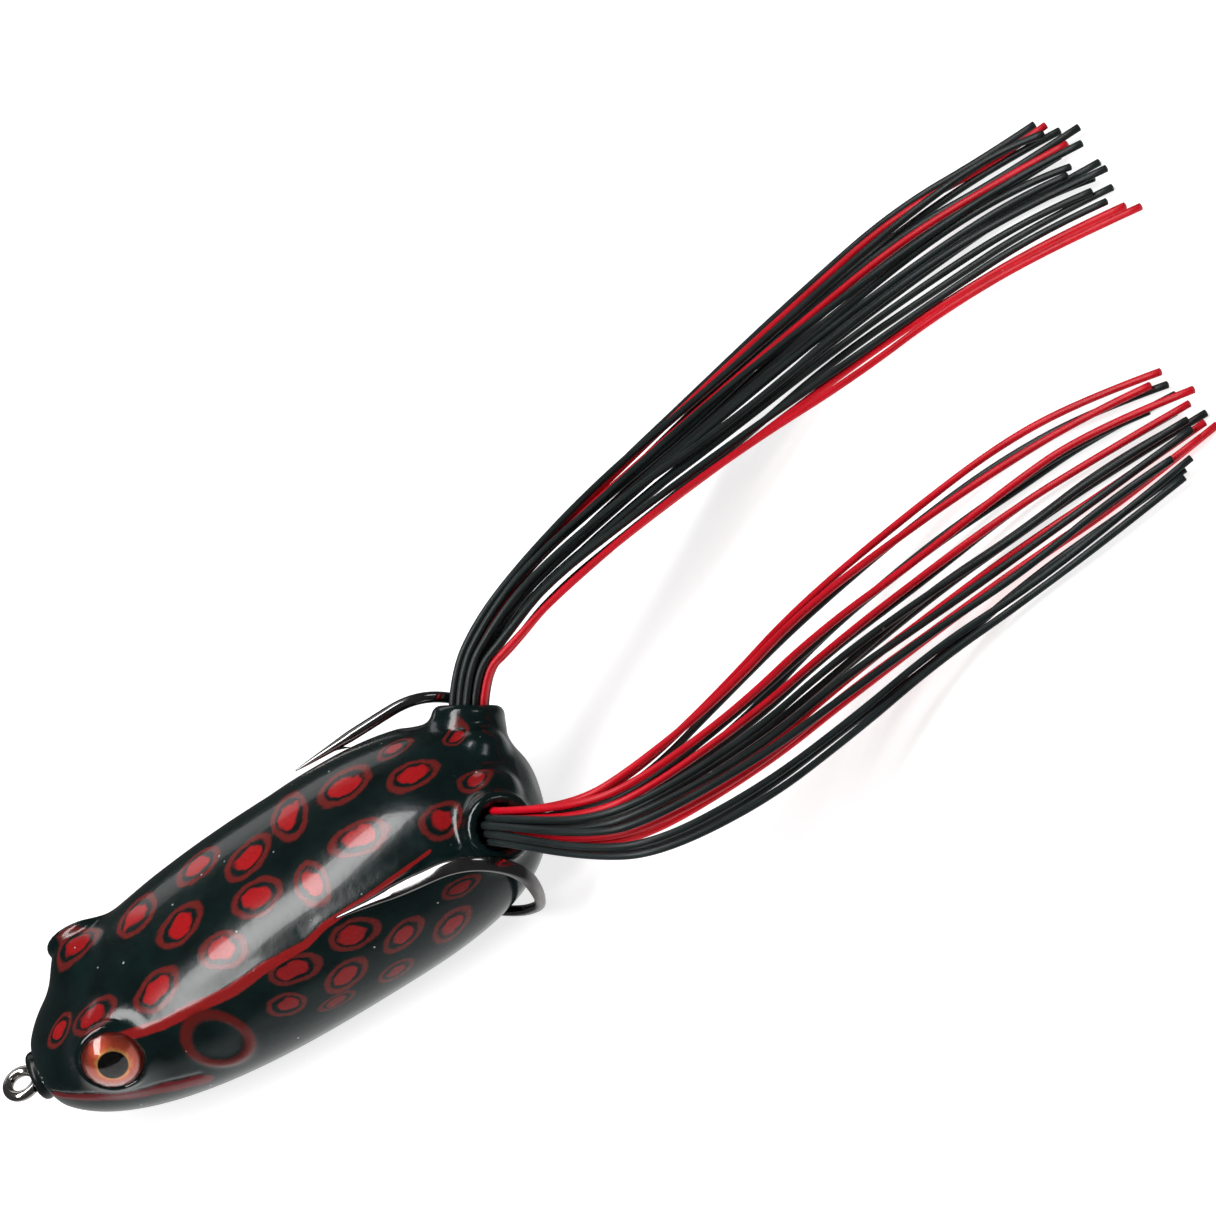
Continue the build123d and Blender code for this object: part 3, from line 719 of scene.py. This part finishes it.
def makeSkin():
    made = fieldMesh("frog_skin", skinField, skin["low"], skin["high"], skin["voxel"])
    points = np.array([vertex.co for vertex in made.data.vertices]) / mm
    x, y, z = points.T
    half, around = skinCoordinates(x, y, z)
    nearest, strength = np.full(len(x), 9.0), np.zeros(len(x))
    every = spots + flankSpots
    every += [(place + skin["flankShift"] * math.sin(3 * place), 180 - turnRound, long, wide, -turn, power)
              for place, turnRound, long, wide, turn, power in flankSpots]
    for spot in every:
        distance = spotDistance(x, around, spot)
        strength = np.where(distance < nearest, spot[5], strength)
        nearest = np.minimum(nearest, distance)
    inside = plainField(x, y, z) < skin["markDepth"]
    addFloat(made, "spot", np.where(inside, 9, nearest))
    addFloat(made, "strength", strength)
    foldWidth = np.interp(x, skin["foldPlaces"], skin["foldShares"])
    addFloat(made, "fold", np.where(inside, 9, lineDistance(x, half, foldLine) / foldWidth))
    addFloat(made, "jaw", np.where(inside, 9, lineDistance(x, half, jawLine)))
    addFloat(made, "ear", np.where(inside, 9, earDistance(x, half)))
    addFloat(made, "paint", smoothStep(*skin["paintEdge"], half + 0.5 * np.sin(x)))
    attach(made, "frog_body")
    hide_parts("body_shell")
    return made


skinPiece = makeSkin()
print("skin made:", len(skinPiece.data.polygons), "faces")

# shader helpers


def addNode(tree, kind, inputs=None, **settings):
    made = tree.nodes.new("ShaderNode" + kind)
    for key, value in settings.items():
        setattr(made, key, value)
    for key, value in (inputs or {}).items():
        if isinstance(value, bpy.types.NodeSocket):
            tree.links.new(value, made.inputs[key])
        else:
            made.inputs[key].default_value = value
    return made


def maths(tree, operation, first, second=0.0, third=0.0):
    return addNode(tree, "Math", {0: first, 1: second, 2: third}, operation=operation).outputs[0]


def blendColours(tree, share, first, second, kind="MIX"):
    made = addNode(tree, "Mix", {0: share, 6: first, 7: second}, data_type="RGBA", blend_type=kind)
    return made.outputs[2]


def between(tree, value, low, high):
    # 0 below low and 1 above high, or the other way round where low is the larger
    made = addNode(tree, "MapRange", {"Value": value, "From Min": low, "From Max": high})
    return made.outputs[0]


def noise(tree, place, size, detail=2.0, roughness=0.5):
    # size is the grain in millimetres
    made = addNode(tree, "TexNoise", {"Vector": place, "Scale": 1 / (size * mm), "Detail": detail,
                                      "Roughness": roughness})
    return made.outputs[0]


def ramp(tree, value, stops):
    made = addNode(tree, "ValToRGB", {0: value})
    elements = made.color_ramp.elements
    while len(elements) < len(stops):
        elements.new(0.5)
    for element, (place, colour) in zip(elements, stops):
        element.position = place
        element.color = (*colour, 1)
    return made.outputs[0]


def newMaterial(name):
    made = bpy.data.materials.new(name)
    made.use_nodes = True
    return made, made.node_tree, made.node_tree.nodes["Principled BSDF"]


def setShader(shader, values):
    for key, value in values.items():
        shader.inputs[key].default_value = value


def join(tree, output, shader, name):
    tree.links.new(output, shader.inputs[name])


def bump(tree, height, depth, normal=None):
    # depth is in millimetres
    made = addNode(tree, "Bump", {"Height": height, "Distance": depth * mm, "Strength": 1.0})
    if normal:
        tree.links.new(normal, made.inputs["Normal"])
    return made.outputs[0]


def newGroup(name, inputs, outputs):
    made = bpy.data.node_groups.new(name, "ShaderNodeTree")
    for key, kind, value in inputs:
        socket = made.interface.new_socket(key, in_out="INPUT", socket_type=kind)
        if value is not None:
            socket.default_value = value
    for key, kind in outputs:
        made.interface.new_socket(key, in_out="OUTPUT", socket_type=kind)
    return made, made.nodes.new("NodeGroupInput").outputs, made.nodes.new("NodeGroupOutput").inputs


def placeGroup(tree, group, inputs):
    made = tree.nodes.new("ShaderNodeGroup")
    made.node_tree = group
    for key, value in inputs.items():
        if isinstance(value, bpy.types.NodeSocket):
            tree.links.new(value, made.inputs[key])
        else:
            made.inputs[key].default_value = value
    return made.outputs


# dust and lint: small pale flecks of uneven size, thinly scattered
def makeDust():
    tree, given, result = newGroup("dustFlecks", [
        ("Place", "NodeSocketVector", None), ("Spacing", "NodeSocketFloat", 900.0),
        ("Size", "NodeSocketFloat", 0.09)], [("Mask", "NodeSocketFloat")])
    cells = addNode(tree, "TexVoronoi", {"Vector": given["Place"], "Scale": given["Spacing"]})
    some = addNode(tree, "TexWhiteNoise", {"Vector": cells.outputs["Position"]})
    reach = maths(tree, "MULTIPLY", given["Size"], between(tree, some.outputs["Value"], 0.86, 1.0))
    close = maths(tree, "SUBTRACT", reach, cells.outputs["Distance"])
    mask = between(tree, close, 0.0, 0.03)
    tree.links.new(mask, result["Mask"])
    return tree


# grain: a fine pebble for bump and a slow blotch for roughness and colour
def makeGrain():
    tree, given, result = newGroup("mouldedGrain", [
        ("Place", "NodeSocketVector", None), ("Fine", "NodeSocketFloat", 5000.0),
        ("Broad", "NodeSocketFloat", 300.0)], [("Height", "NodeSocketFloat"), ("Blotch", "NodeSocketFloat")])
    fine = addNode(tree, "TexNoise", {"Vector": given["Place"], "Scale": given["Fine"], "Detail": 3.0})
    broad = addNode(tree, "TexNoise", {"Vector": given["Place"], "Scale": given["Broad"], "Detail": 4.0})
    tree.links.new(fine.outputs[0], result["Height"])
    tree.links.new(broad.outputs[0], result["Blotch"])
    return tree


dustGroup = makeDust()
grainGroup = makeGrain()


# skin material

skinLook = {
    "dark": (0.0032, 0.0135, 0.013), "deep": (0.0012, 0.005, 0.005), "bare": (0.011, 0.018, 0.018),
    "glint": (0.012, 0.035, 0.033),
    "core": (0.56, 0.013, 0.016), "coreDark": (0.24, 0.004, 0.006), "ring": (0.27, 0.022, 0.018),
    "ringDark": (0.1, 0.01, 0.009), "ear": (0.1, 0.008, 0.006), "fold": (0.36, 0.016, 0.016),
    "foldDark": (0.2, 0.008, 0.008), "jaw": (0.16, 0.016, 0.02), "dust": (0.6, 0.62, 0.6),
    "fine": 6500.0, "broad": 260.0, "speckle": 0.1, "wander": 2.2, "wobble": 0.2, "edge": 0.13,
    "coreWander": 1.8, "coreWobble": 0.3, "coreEnds": (0.58, 0.46), "ringStarts": (0.68, 0.78),
    "ringEnds": (1.04, 0.92), "foldEnds": (0.72, 0.5), "foldWobble": 1.1, "jawEnds": (1.1, 0.75),
    "jawWobble": 2.2, "jawShare": 0.85, "earEnds": (0.2, 0.1), "earWobble": 0.12, "dustSpacing": 950.0,
    "dustSize": 0.16, "dustShare": 0.7, "roughness": 0.1, "rougher": 0.16, "coatRoughness": 0.06,
    "pebble": 0.014, "swell": 0.9, "swellDepth": 0.02,
}


def makeSkinMaterial():
    material, tree, shader = newMaterial("printedSkin")
    place = addNode(tree, "TexCoord").outputs["Object"]
    read = {key: addNode(tree, "Attribute", attribute_name=key).outputs["Fac"]
            for key in ("spot", "strength", "fold", "jaw", "ear", "paint")}
    grain = placeGroup(tree, grainGroup, {"Place": place, "Fine": skinLook["fine"],
                                          "Broad": skinLook["broad"]})
    speckle = noise(tree, place, skinLook["speckle"], 3.0, 0.7)
    wander = maths(tree, "MULTIPLY_ADD", noise(tree, place, skinLook["wander"], 3.0, 0.6),
                   skinLook["wobble"] * 2, -skinLook["wobble"])
    edge = maths(tree, "MULTIPLY_ADD", speckle, skinLook["edge"] * 2, -skinLook["edge"])
    base = blendColours(tree, between(tree, grain["Blotch"], 0.3, 0.7), (*skinLook["deep"], 1),
                        (*skinLook["dark"], 1))
    base = blendColours(tree, maths(tree, "MULTIPLY", between(tree, speckle, 0.55, 0.8), 0.35), base,
                        (*skinLook["glint"], 1))
    base = blendColours(tree, read["paint"], (*skinLook["bare"], 1), base)
    # spots: a bright core, a dark gap and a duller ring
    spot = maths(tree, "ADD", maths(tree, "ADD", read["spot"], wander), edge)
    core = blendColours(tree, between(tree, speckle, 0.36, 0.6), (*skinLook["coreDark"], 1),
                        (*skinLook["core"], 1))
    offset = addNode(tree, "VectorMath", {0: place, 1: (0.7, 0.3, 0.5)}, operation="ADD").outputs[0]
    ragged = maths(tree, "MULTIPLY_ADD", noise(tree, offset, skinLook["coreWander"], 1.0),
                   skinLook["coreWobble"] * 2, -skinLook["coreWobble"])
    coreSpot = maths(tree, "ADD", spot, ragged)
    inCore = maths(tree, "MULTIPLY", between(tree, coreSpot, *skinLook["coreEnds"]), read["strength"])
    inRing = maths(tree, "MULTIPLY", between(tree, spot, *skinLook["ringStarts"]),
                   between(tree, spot, *skinLook["ringEnds"]))
    weak = maths(tree, "MULTIPLY_ADD", read["strength"], 0.5, 0.35)
    inRing = maths(tree, "MULTIPLY", inRing, weak)
    ring = blendColours(tree, between(tree, speckle, 0.38, 0.62), (*skinLook["ringDark"], 1),
                        (*skinLook["ring"], 1))
    colour = blendColours(tree, inRing, base, ring)
    colour = blendColours(tree, maths(tree, "MINIMUM", inCore, 1.0), colour, core)
    # the fold line, the jaw line and the ear ring
    line = maths(tree, "ADD", read["fold"], maths(tree, "MULTIPLY", wander, skinLook["foldWobble"]))
    fold = blendColours(tree, between(tree, speckle, 0.3, 0.7), (*skinLook["foldDark"], 1),
                        (*skinLook["fold"], 1))
    colour = blendColours(tree, between(tree, line, *skinLook["foldEnds"]), colour, fold)
    line = maths(tree, "ADD", read["jaw"], maths(tree, "MULTIPLY", wander, skinLook["jawWobble"]))
    inJaw = maths(tree, "MULTIPLY", between(tree, line, *skinLook["jawEnds"]), skinLook["jawShare"])
    colour = blendColours(tree, inJaw, colour, (*skinLook["jaw"], 1))
    rim = maths(tree, "ABSOLUTE", maths(tree, "SUBTRACT", read["ear"], skin["earRim"]))
    rim = maths(tree, "ADD", rim, maths(tree, "MULTIPLY", wander, skinLook["earWobble"]))
    rim = maths(tree, "ADD", rim, edge)
    colour = blendColours(tree, between(tree, rim, *skinLook["earEnds"]), colour, (*skinLook["ear"], 1))
    dust = placeGroup(tree, dustGroup, {"Place": place, "Spacing": skinLook["dustSpacing"],
                                        "Size": skinLook["dustSize"]})
    dusty = maths(tree, "MULTIPLY", dust["Mask"], skinLook["dustShare"])
    colour = blendColours(tree, dusty, colour, (*skinLook["dust"], 1))
    join(tree, colour, shader, "Base Color")
    rough = maths(tree, "MULTIPLY_ADD", grain["Blotch"], skinLook["rougher"], skinLook["roughness"])
    join(tree, rough, shader, "Roughness")
    swell = bump(tree, noise(tree, place, skinLook["swell"], 2.0), skinLook["swellDepth"])
    join(tree, bump(tree, grain["Height"], skinLook["pebble"], swell), shader, "Normal")
    setShader(shader, {"IOR": 1.46, "Coat Weight": 0.6, "Coat Roughness": skinLook["coatRoughness"],
                       "Coat IOR": 1.4})
    skinPiece.data.materials.append(material)


makeSkinMaterial()

# strand materials

rubberLook = {
    "black": {"low": (0.006, 0.0105, 0.0105), "high": (0.02, 0.03, 0.03), "roughness": 0.42, "sheen": 0.05},
    "red": {"low": (0.6, 0.0012, 0.01), "high": (0.86, 0.003, 0.022), "roughness": 0.42, "sheen": 0.0},
}
rubberGrain = {"fine": 9000.0, "broad": 220.0, "across": 2.2, "along": 0.12, "streakScale": 1.6,
               "dust": (0.5, 0.5, 0.5), "dustSpacing": 420.0, "dustSize": 0.09, "dustShare": 0.35,
               "pebble": 0.008, "streakDepth": 0.03}


def makeRubber(colour):
    look = rubberLook[colour]
    material, tree, shader = newMaterial(f"{colour}StrandRubber")
    along = addNode(tree, "Attribute", attribute_name="along").outputs["Fac"]
    around = addNode(tree, "Attribute", attribute_name="around").outputs["Fac"]
    place = addNode(tree, "TexCoord").outputs["Object"]
    # streaks run along the strand, from the die it was drawn through
    sine, cosine = (maths(tree, "MULTIPLY", maths(tree, operation, around), rubberGrain["across"])
                    for operation in ("SINE", "COSINE"))
    streakPlace = addNode(tree, "CombineXYZ", {0: sine, 1: cosine, 2: maths(
        tree, "MULTIPLY", along, rubberGrain["along"])}).outputs[0]
    streak = addNode(tree, "TexNoise", {"Vector": streakPlace, "Scale": rubberGrain["streakScale"],
                                        "Detail": 3.0}).outputs[0]
    grain = placeGroup(tree, grainGroup, {"Place": place, "Fine": rubberGrain["fine"],
                                          "Broad": rubberGrain["broad"]})
    shade = maths(tree, "MULTIPLY_ADD", grain["Blotch"], 0.5, maths(tree, "MULTIPLY", streak, 0.5))
    colourOut = blendColours(tree, between(tree, shade, 0.35, 0.65), (*look["low"], 1), (*look["high"], 1))
    dust = placeGroup(tree, dustGroup, {"Place": place, "Spacing": rubberGrain["dustSpacing"],
                                        "Size": rubberGrain["dustSize"]})
    dusty = maths(tree, "MULTIPLY", dust["Mask"], rubberGrain["dustShare"])
    colourOut = blendColours(tree, dusty, colourOut, (*rubberGrain["dust"], 1))
    join(tree, colourOut, shader, "Base Color")
    join(tree, maths(tree, "MULTIPLY_ADD", streak, 0.2, look["roughness"] - 0.1), shader, "Roughness")
    drawn = bump(tree, streak, rubberGrain["streakDepth"])
    join(tree, bump(tree, grain["Height"], rubberGrain["pebble"], drawn), shader, "Normal")
    setShader(shader, {"IOR": 1.45, "Sheen Weight": look["sheen"], "Sheen Roughness": 0.4})
    return material


rubbers = {colour: makeRubber(colour) for colour in rubberLook}
for piece, colour in strandPieces:
    piece.data.materials.append(rubbers[colour])

# eye materials

irisLook = {"stops": [(0.46, (0.85, 0.4, 0.1)), (0.58, (0.72, 0.1, 0.035)), (0.98, (0.34, 0.022, 0.014))],
            "pupil": (0.001, 0.0015, 0.0015), "pupilEdge": 0.015, "crinkle": 0.35, "wobble": 0.15,
            "metallic": 0.6, "roughness": 0.3, "rougher": 0.3, "specular": 0.5, "crinkleDepth": 0.06}
lensLook = {"tint": (1.0, 0.99, 0.97), "ior": 1.49, "swell": 1.6, "swellDepth": 0.004, "haze": 0.5,
            "hazeEnds": (0.2, 3.5)}


def makeIrisMaterial():
    material, tree, shader = newMaterial("irisFoil")
    reach = addNode(tree, "Attribute", attribute_name="reach").outputs["Fac"]
    place = addNode(tree, "TexCoord").outputs["Object"]
    crinkle = noise(tree, place, irisLook["crinkle"], 4.0, 0.65)
    wobble = maths(tree, "MULTIPLY_ADD", crinkle, irisLook["wobble"] * 2, -irisLook["wobble"])
    colour = ramp(tree, maths(tree, "ADD", reach, wobble), irisLook["stops"])
    outside = between(tree, reach, eye["pupil"] - irisLook["pupilEdge"], eye["pupil"] + irisLook["pupilEdge"])
    colour = blendColours(tree, outside, (*irisLook["pupil"], 1), colour)
    join(tree, colour, shader, "Base Color")
    join(tree, maths(tree, "MULTIPLY", outside, irisLook["metallic"]), shader, "Metallic")
    rough = maths(tree, "MULTIPLY_ADD", crinkle, irisLook["rougher"], irisLook["roughness"])
    join(tree, rough, shader, "Roughness")
    join(tree, maths(tree, "MULTIPLY", outside, irisLook["specular"]), shader, "Specular IOR Level")
    join(tree, bump(tree, crinkle, irisLook["crinkleDepth"]), shader, "Normal")
    return material


def makeLensMaterial():
    material, tree, shader = newMaterial("clearResin")
    place = addNode(tree, "TexCoord").outputs["Object"]
    swell = bump(tree, noise(tree, place, lensLook["swell"], 2.0), lensLook["swellDepth"])
    join(tree, swell, shader, "Normal")
    haze = between(tree, noise(tree, place, lensLook["haze"], 3.0), *lensLook["hazeEnds"])
    join(tree, haze, shader, "Roughness")
    setShader(shader, {"Base Color": (*lensLook["tint"], 1), "Transmission Weight": 1.0,
                       "IOR": lensLook["ior"]})
    return material


irisMaterial = makeIrisMaterial()
lensMaterial = makeLensMaterial()
for piece in eyePieces:
    piece.data.materials.append(lensMaterial if piece.name.endswith("lens") else irisMaterial)

# metal and collar materials


nickelLook = {"dark": (0.26, 0.25, 0.25), "pale": (0.36, 0.35, 0.345), "worn": (0.62, 0.6, 0.57),
              "wornFrom": (31.5, 33.5), "wornShare": 0.95, "fine": 7000.0, "broad": 400.0,
              "roughness": 0.06, "rougher": 0.14, "pebble": 0.003}


def makeNickel():
    material, tree, shader = newMaterial("blackNickel")
    place = addNode(tree, "TexCoord").outputs["Object"]
    grain = placeGroup(tree, grainGroup, {"Place": place, "Fine": nickelLook["fine"],
                                          "Broad": nickelLook["broad"]})
    # the plating is thinner and paler where the ring rubs
    front = maths(tree, "MULTIPLY", addNode(tree, "SeparateXYZ", {0: place}).outputs[0], 1 / mm)
    worn = maths(tree, "MULTIPLY", between(tree, front, *nickelLook["wornFrom"]), nickelLook["wornShare"])
    plate = blendColours(tree, between(tree, grain["Blotch"], 0.35, 0.65), (*nickelLook["dark"], 1),
                         (*nickelLook["pale"], 1))
    join(tree, blendColours(tree, worn, plate, (*nickelLook["worn"], 1)), shader, "Base Color")
    rough = maths(tree, "MULTIPLY_ADD", grain["Blotch"], nickelLook["rougher"], nickelLook["roughness"])
    join(tree, rough, shader, "Roughness")
    join(tree, bump(tree, grain["Height"], nickelLook["pebble"]), shader, "Normal")
    setShader(shader, {"Metallic": 1.0})
    return material


castGrain = {"fine": 3500.0, "broad": 500.0, "rougher": 0.3, "pebble": 0.03, "swell": 0.05}
castLook = {
    "brazeSeam": {"low": (0.36, 0.3, 0.2), "high": (0.5, 0.45, 0.34), "roughness": 0.4},
    "castWeight": {"low": (0.16, 0.165, 0.175), "high": (0.3, 0.31, 0.33), "roughness": 0.5},
}


def makeCast(name):
    look = castLook[name]
    material, tree, shader = newMaterial(name)
    place = addNode(tree, "TexCoord").outputs["Object"]
    grain = placeGroup(tree, grainGroup, {"Place": place, "Fine": castGrain["fine"],
                                          "Broad": castGrain["broad"]})
    join(tree, blendColours(tree, grain["Blotch"], (*look["low"], 1), (*look["high"], 1)), shader,
         "Base Color")
    rough = maths(tree, "MULTIPLY_ADD", grain["Height"], castGrain["rougher"],
                  look["roughness"] - castGrain["rougher"] / 2)
    join(tree, rough, shader, "Roughness")
    swell = bump(tree, grain["Blotch"], castGrain["swell"])
    join(tree, bump(tree, grain["Height"], castGrain["pebble"], swell), shader, "Normal")
    setShader(shader, {"Metallic": 1.0})
    return material


collarLook = {"low": (0.0028, 0.005, 0.005), "high": (0.009, 0.013, 0.013), "dust": (0.5, 0.5, 0.5),
              "dustSpacing": 600.0, "dustSize": 0.1, "dustShare": 0.5, "fine": 6000.0, "broad": 350.0,
              "roughness": 0.2, "rougher": 0.2, "pebble": 0.012}


def makeCollarRubber():
    material, tree, shader = newMaterial("collarRubber")
    place = addNode(tree, "TexCoord").outputs["Object"]
    grain = placeGroup(tree, grainGroup, {"Place": place, "Fine": collarLook["fine"],
                                          "Broad": collarLook["broad"]})
    colour = blendColours(tree, grain["Blotch"], (*collarLook["low"], 1), (*collarLook["high"], 1))
    dust = placeGroup(tree, dustGroup, {"Place": place, "Spacing": collarLook["dustSpacing"],
                                        "Size": collarLook["dustSize"]})
    dusty = maths(tree, "MULTIPLY", dust["Mask"], collarLook["dustShare"])
    colour = blendColours(tree, dusty, colour, (*collarLook["dust"], 1))
    join(tree, colour, shader, "Base Color")
    rough = maths(tree, "MULTIPLY_ADD", grain["Blotch"], collarLook["rougher"], collarLook["roughness"])
    join(tree, rough, shader, "Roughness")
    join(tree, bump(tree, grain["Height"], collarLook["pebble"]), shader, "Normal")
    setShader(shader, {"IOR": 1.47})
    return material


def dress(name, material):
    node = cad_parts[name]
    node.data.materials.clear()
    node.data.materials.append(material)


collarRubber = makeCollarRubber()
hookPiece.data.materials.append(makeNickel())
collarPiece.data.materials.append(collarRubber)
dress("left_skirt_collar", collarRubber)
dress("right_skirt_collar", collarRubber)
dress("shank_braze", makeCast("brazeSeam"))
dress("keel_weight", makeCast("castWeight"))
print("materials made")

# floor and lights

studio = {
    "lights": [
        # name, way to it, way along it, distance, width, length, radiance
        ("keySoftbox", (0.24, 0.12, 0.95), (0.77, 1.06, -0.36), 600.0, 200.0, 900.0, 8.0),
        ("sideSoftbox", (0.2, -0.9, 0.42), (1, 0, 0), 700.0, 240.0, 420.0, 0.9),
        ("tailSoftbox", (-0.82, 0.16, 0.58), (0, 1, 0), 700.0, 150.0, 150.0, 3.0),
    ],
    "aim": (-10.0, 0.0, 10.0), "floorGlow": 0.78, "floor": (0.6, 0.6, 0.6),
    "floorHalf": 1500.0, "floorHeight": -0.05, "above": 0.05, "below": 0.7, "horizon": (-0.5, -0.9),
}


def makeFloor():
    half, height = studio["floorHalf"], studio["floorHeight"]
    corners = [(x * half, y * half, height) for x, y in ((-1, -1), (1, -1), (1, 1), (-1, 1))]
    made = addMesh("floor", corners, [(0, 1, 2, 3)])
    material, tree, shader = newMaterial("paleFloor")
    setShader(shader, {"Base Color": (*studio["floor"], 1), "Roughness": 0.9, "Emission Color": (1, 1, 1, 1),
                       "Emission Strength": studio["floorGlow"], "Specular IOR Level": 0.0})
    made.data.materials.append(material)
    made.visible_glossy = False


def makeLights():
    for name, way, along, distance, width, length, radiance in studio["lights"]:
        data = bpy.data.lights.new(name, "AREA")
        data.shape = "RECTANGLE"
        data.size, data.size_y = width * mm, length * mm
        data.energy = radiance * math.pi * width * length * mm * mm
        made = bpy.data.objects.new(name, data)
        bpy.context.scene.collection.objects.link(made)
        way = Vector(way).normalized()
        across = Vector(along).cross(way).normalized()
        made.matrix_world = Matrix.Translation((Vector(studio["aim"]) + way * distance) * mm) @ Matrix(
            (across, way.cross(across), way)).transposed().to_4x4()
        made.visible_camera = False


def makeWorld():
    # dim above, a white card below, and plain white behind the object
    world = bpy.data.worlds.new("studio")
    world.use_nodes = True
    tree = world.node_tree
    way = addNode(tree, "TexCoord").outputs["Generated"]
    height = addNode(tree, "SeparateXYZ", {0: way}).outputs[2]
    upper, lower = studio["horizon"]
    shade = addNode(tree, "MapRange", {"Value": height, "From Min": upper, "From Max": lower,
                                       "To Min": studio["above"], "To Max": studio["below"]}).outputs[0]
    around = addNode(tree, "Background", {"Color": (1, 1, 1, 1), "Strength": shade})
    behind = addNode(tree, "Background", {"Color": (1, 1, 1, 1), "Strength": 1.0})
    seen = addNode(tree, "LightPath").outputs["Is Camera Ray"]
    mix = addNode(tree, "MixShader", {0: seen, 1: around.outputs[0], 2: behind.outputs[0]})
    tree.links.new(mix.outputs[0], tree.nodes["World Output"].inputs[0])
    bpy.context.scene.world = world


makeFloor()
makeLights()
makeWorld()
bpy.context.scene.view_settings.view_transform = "Standard"
print("studio made")
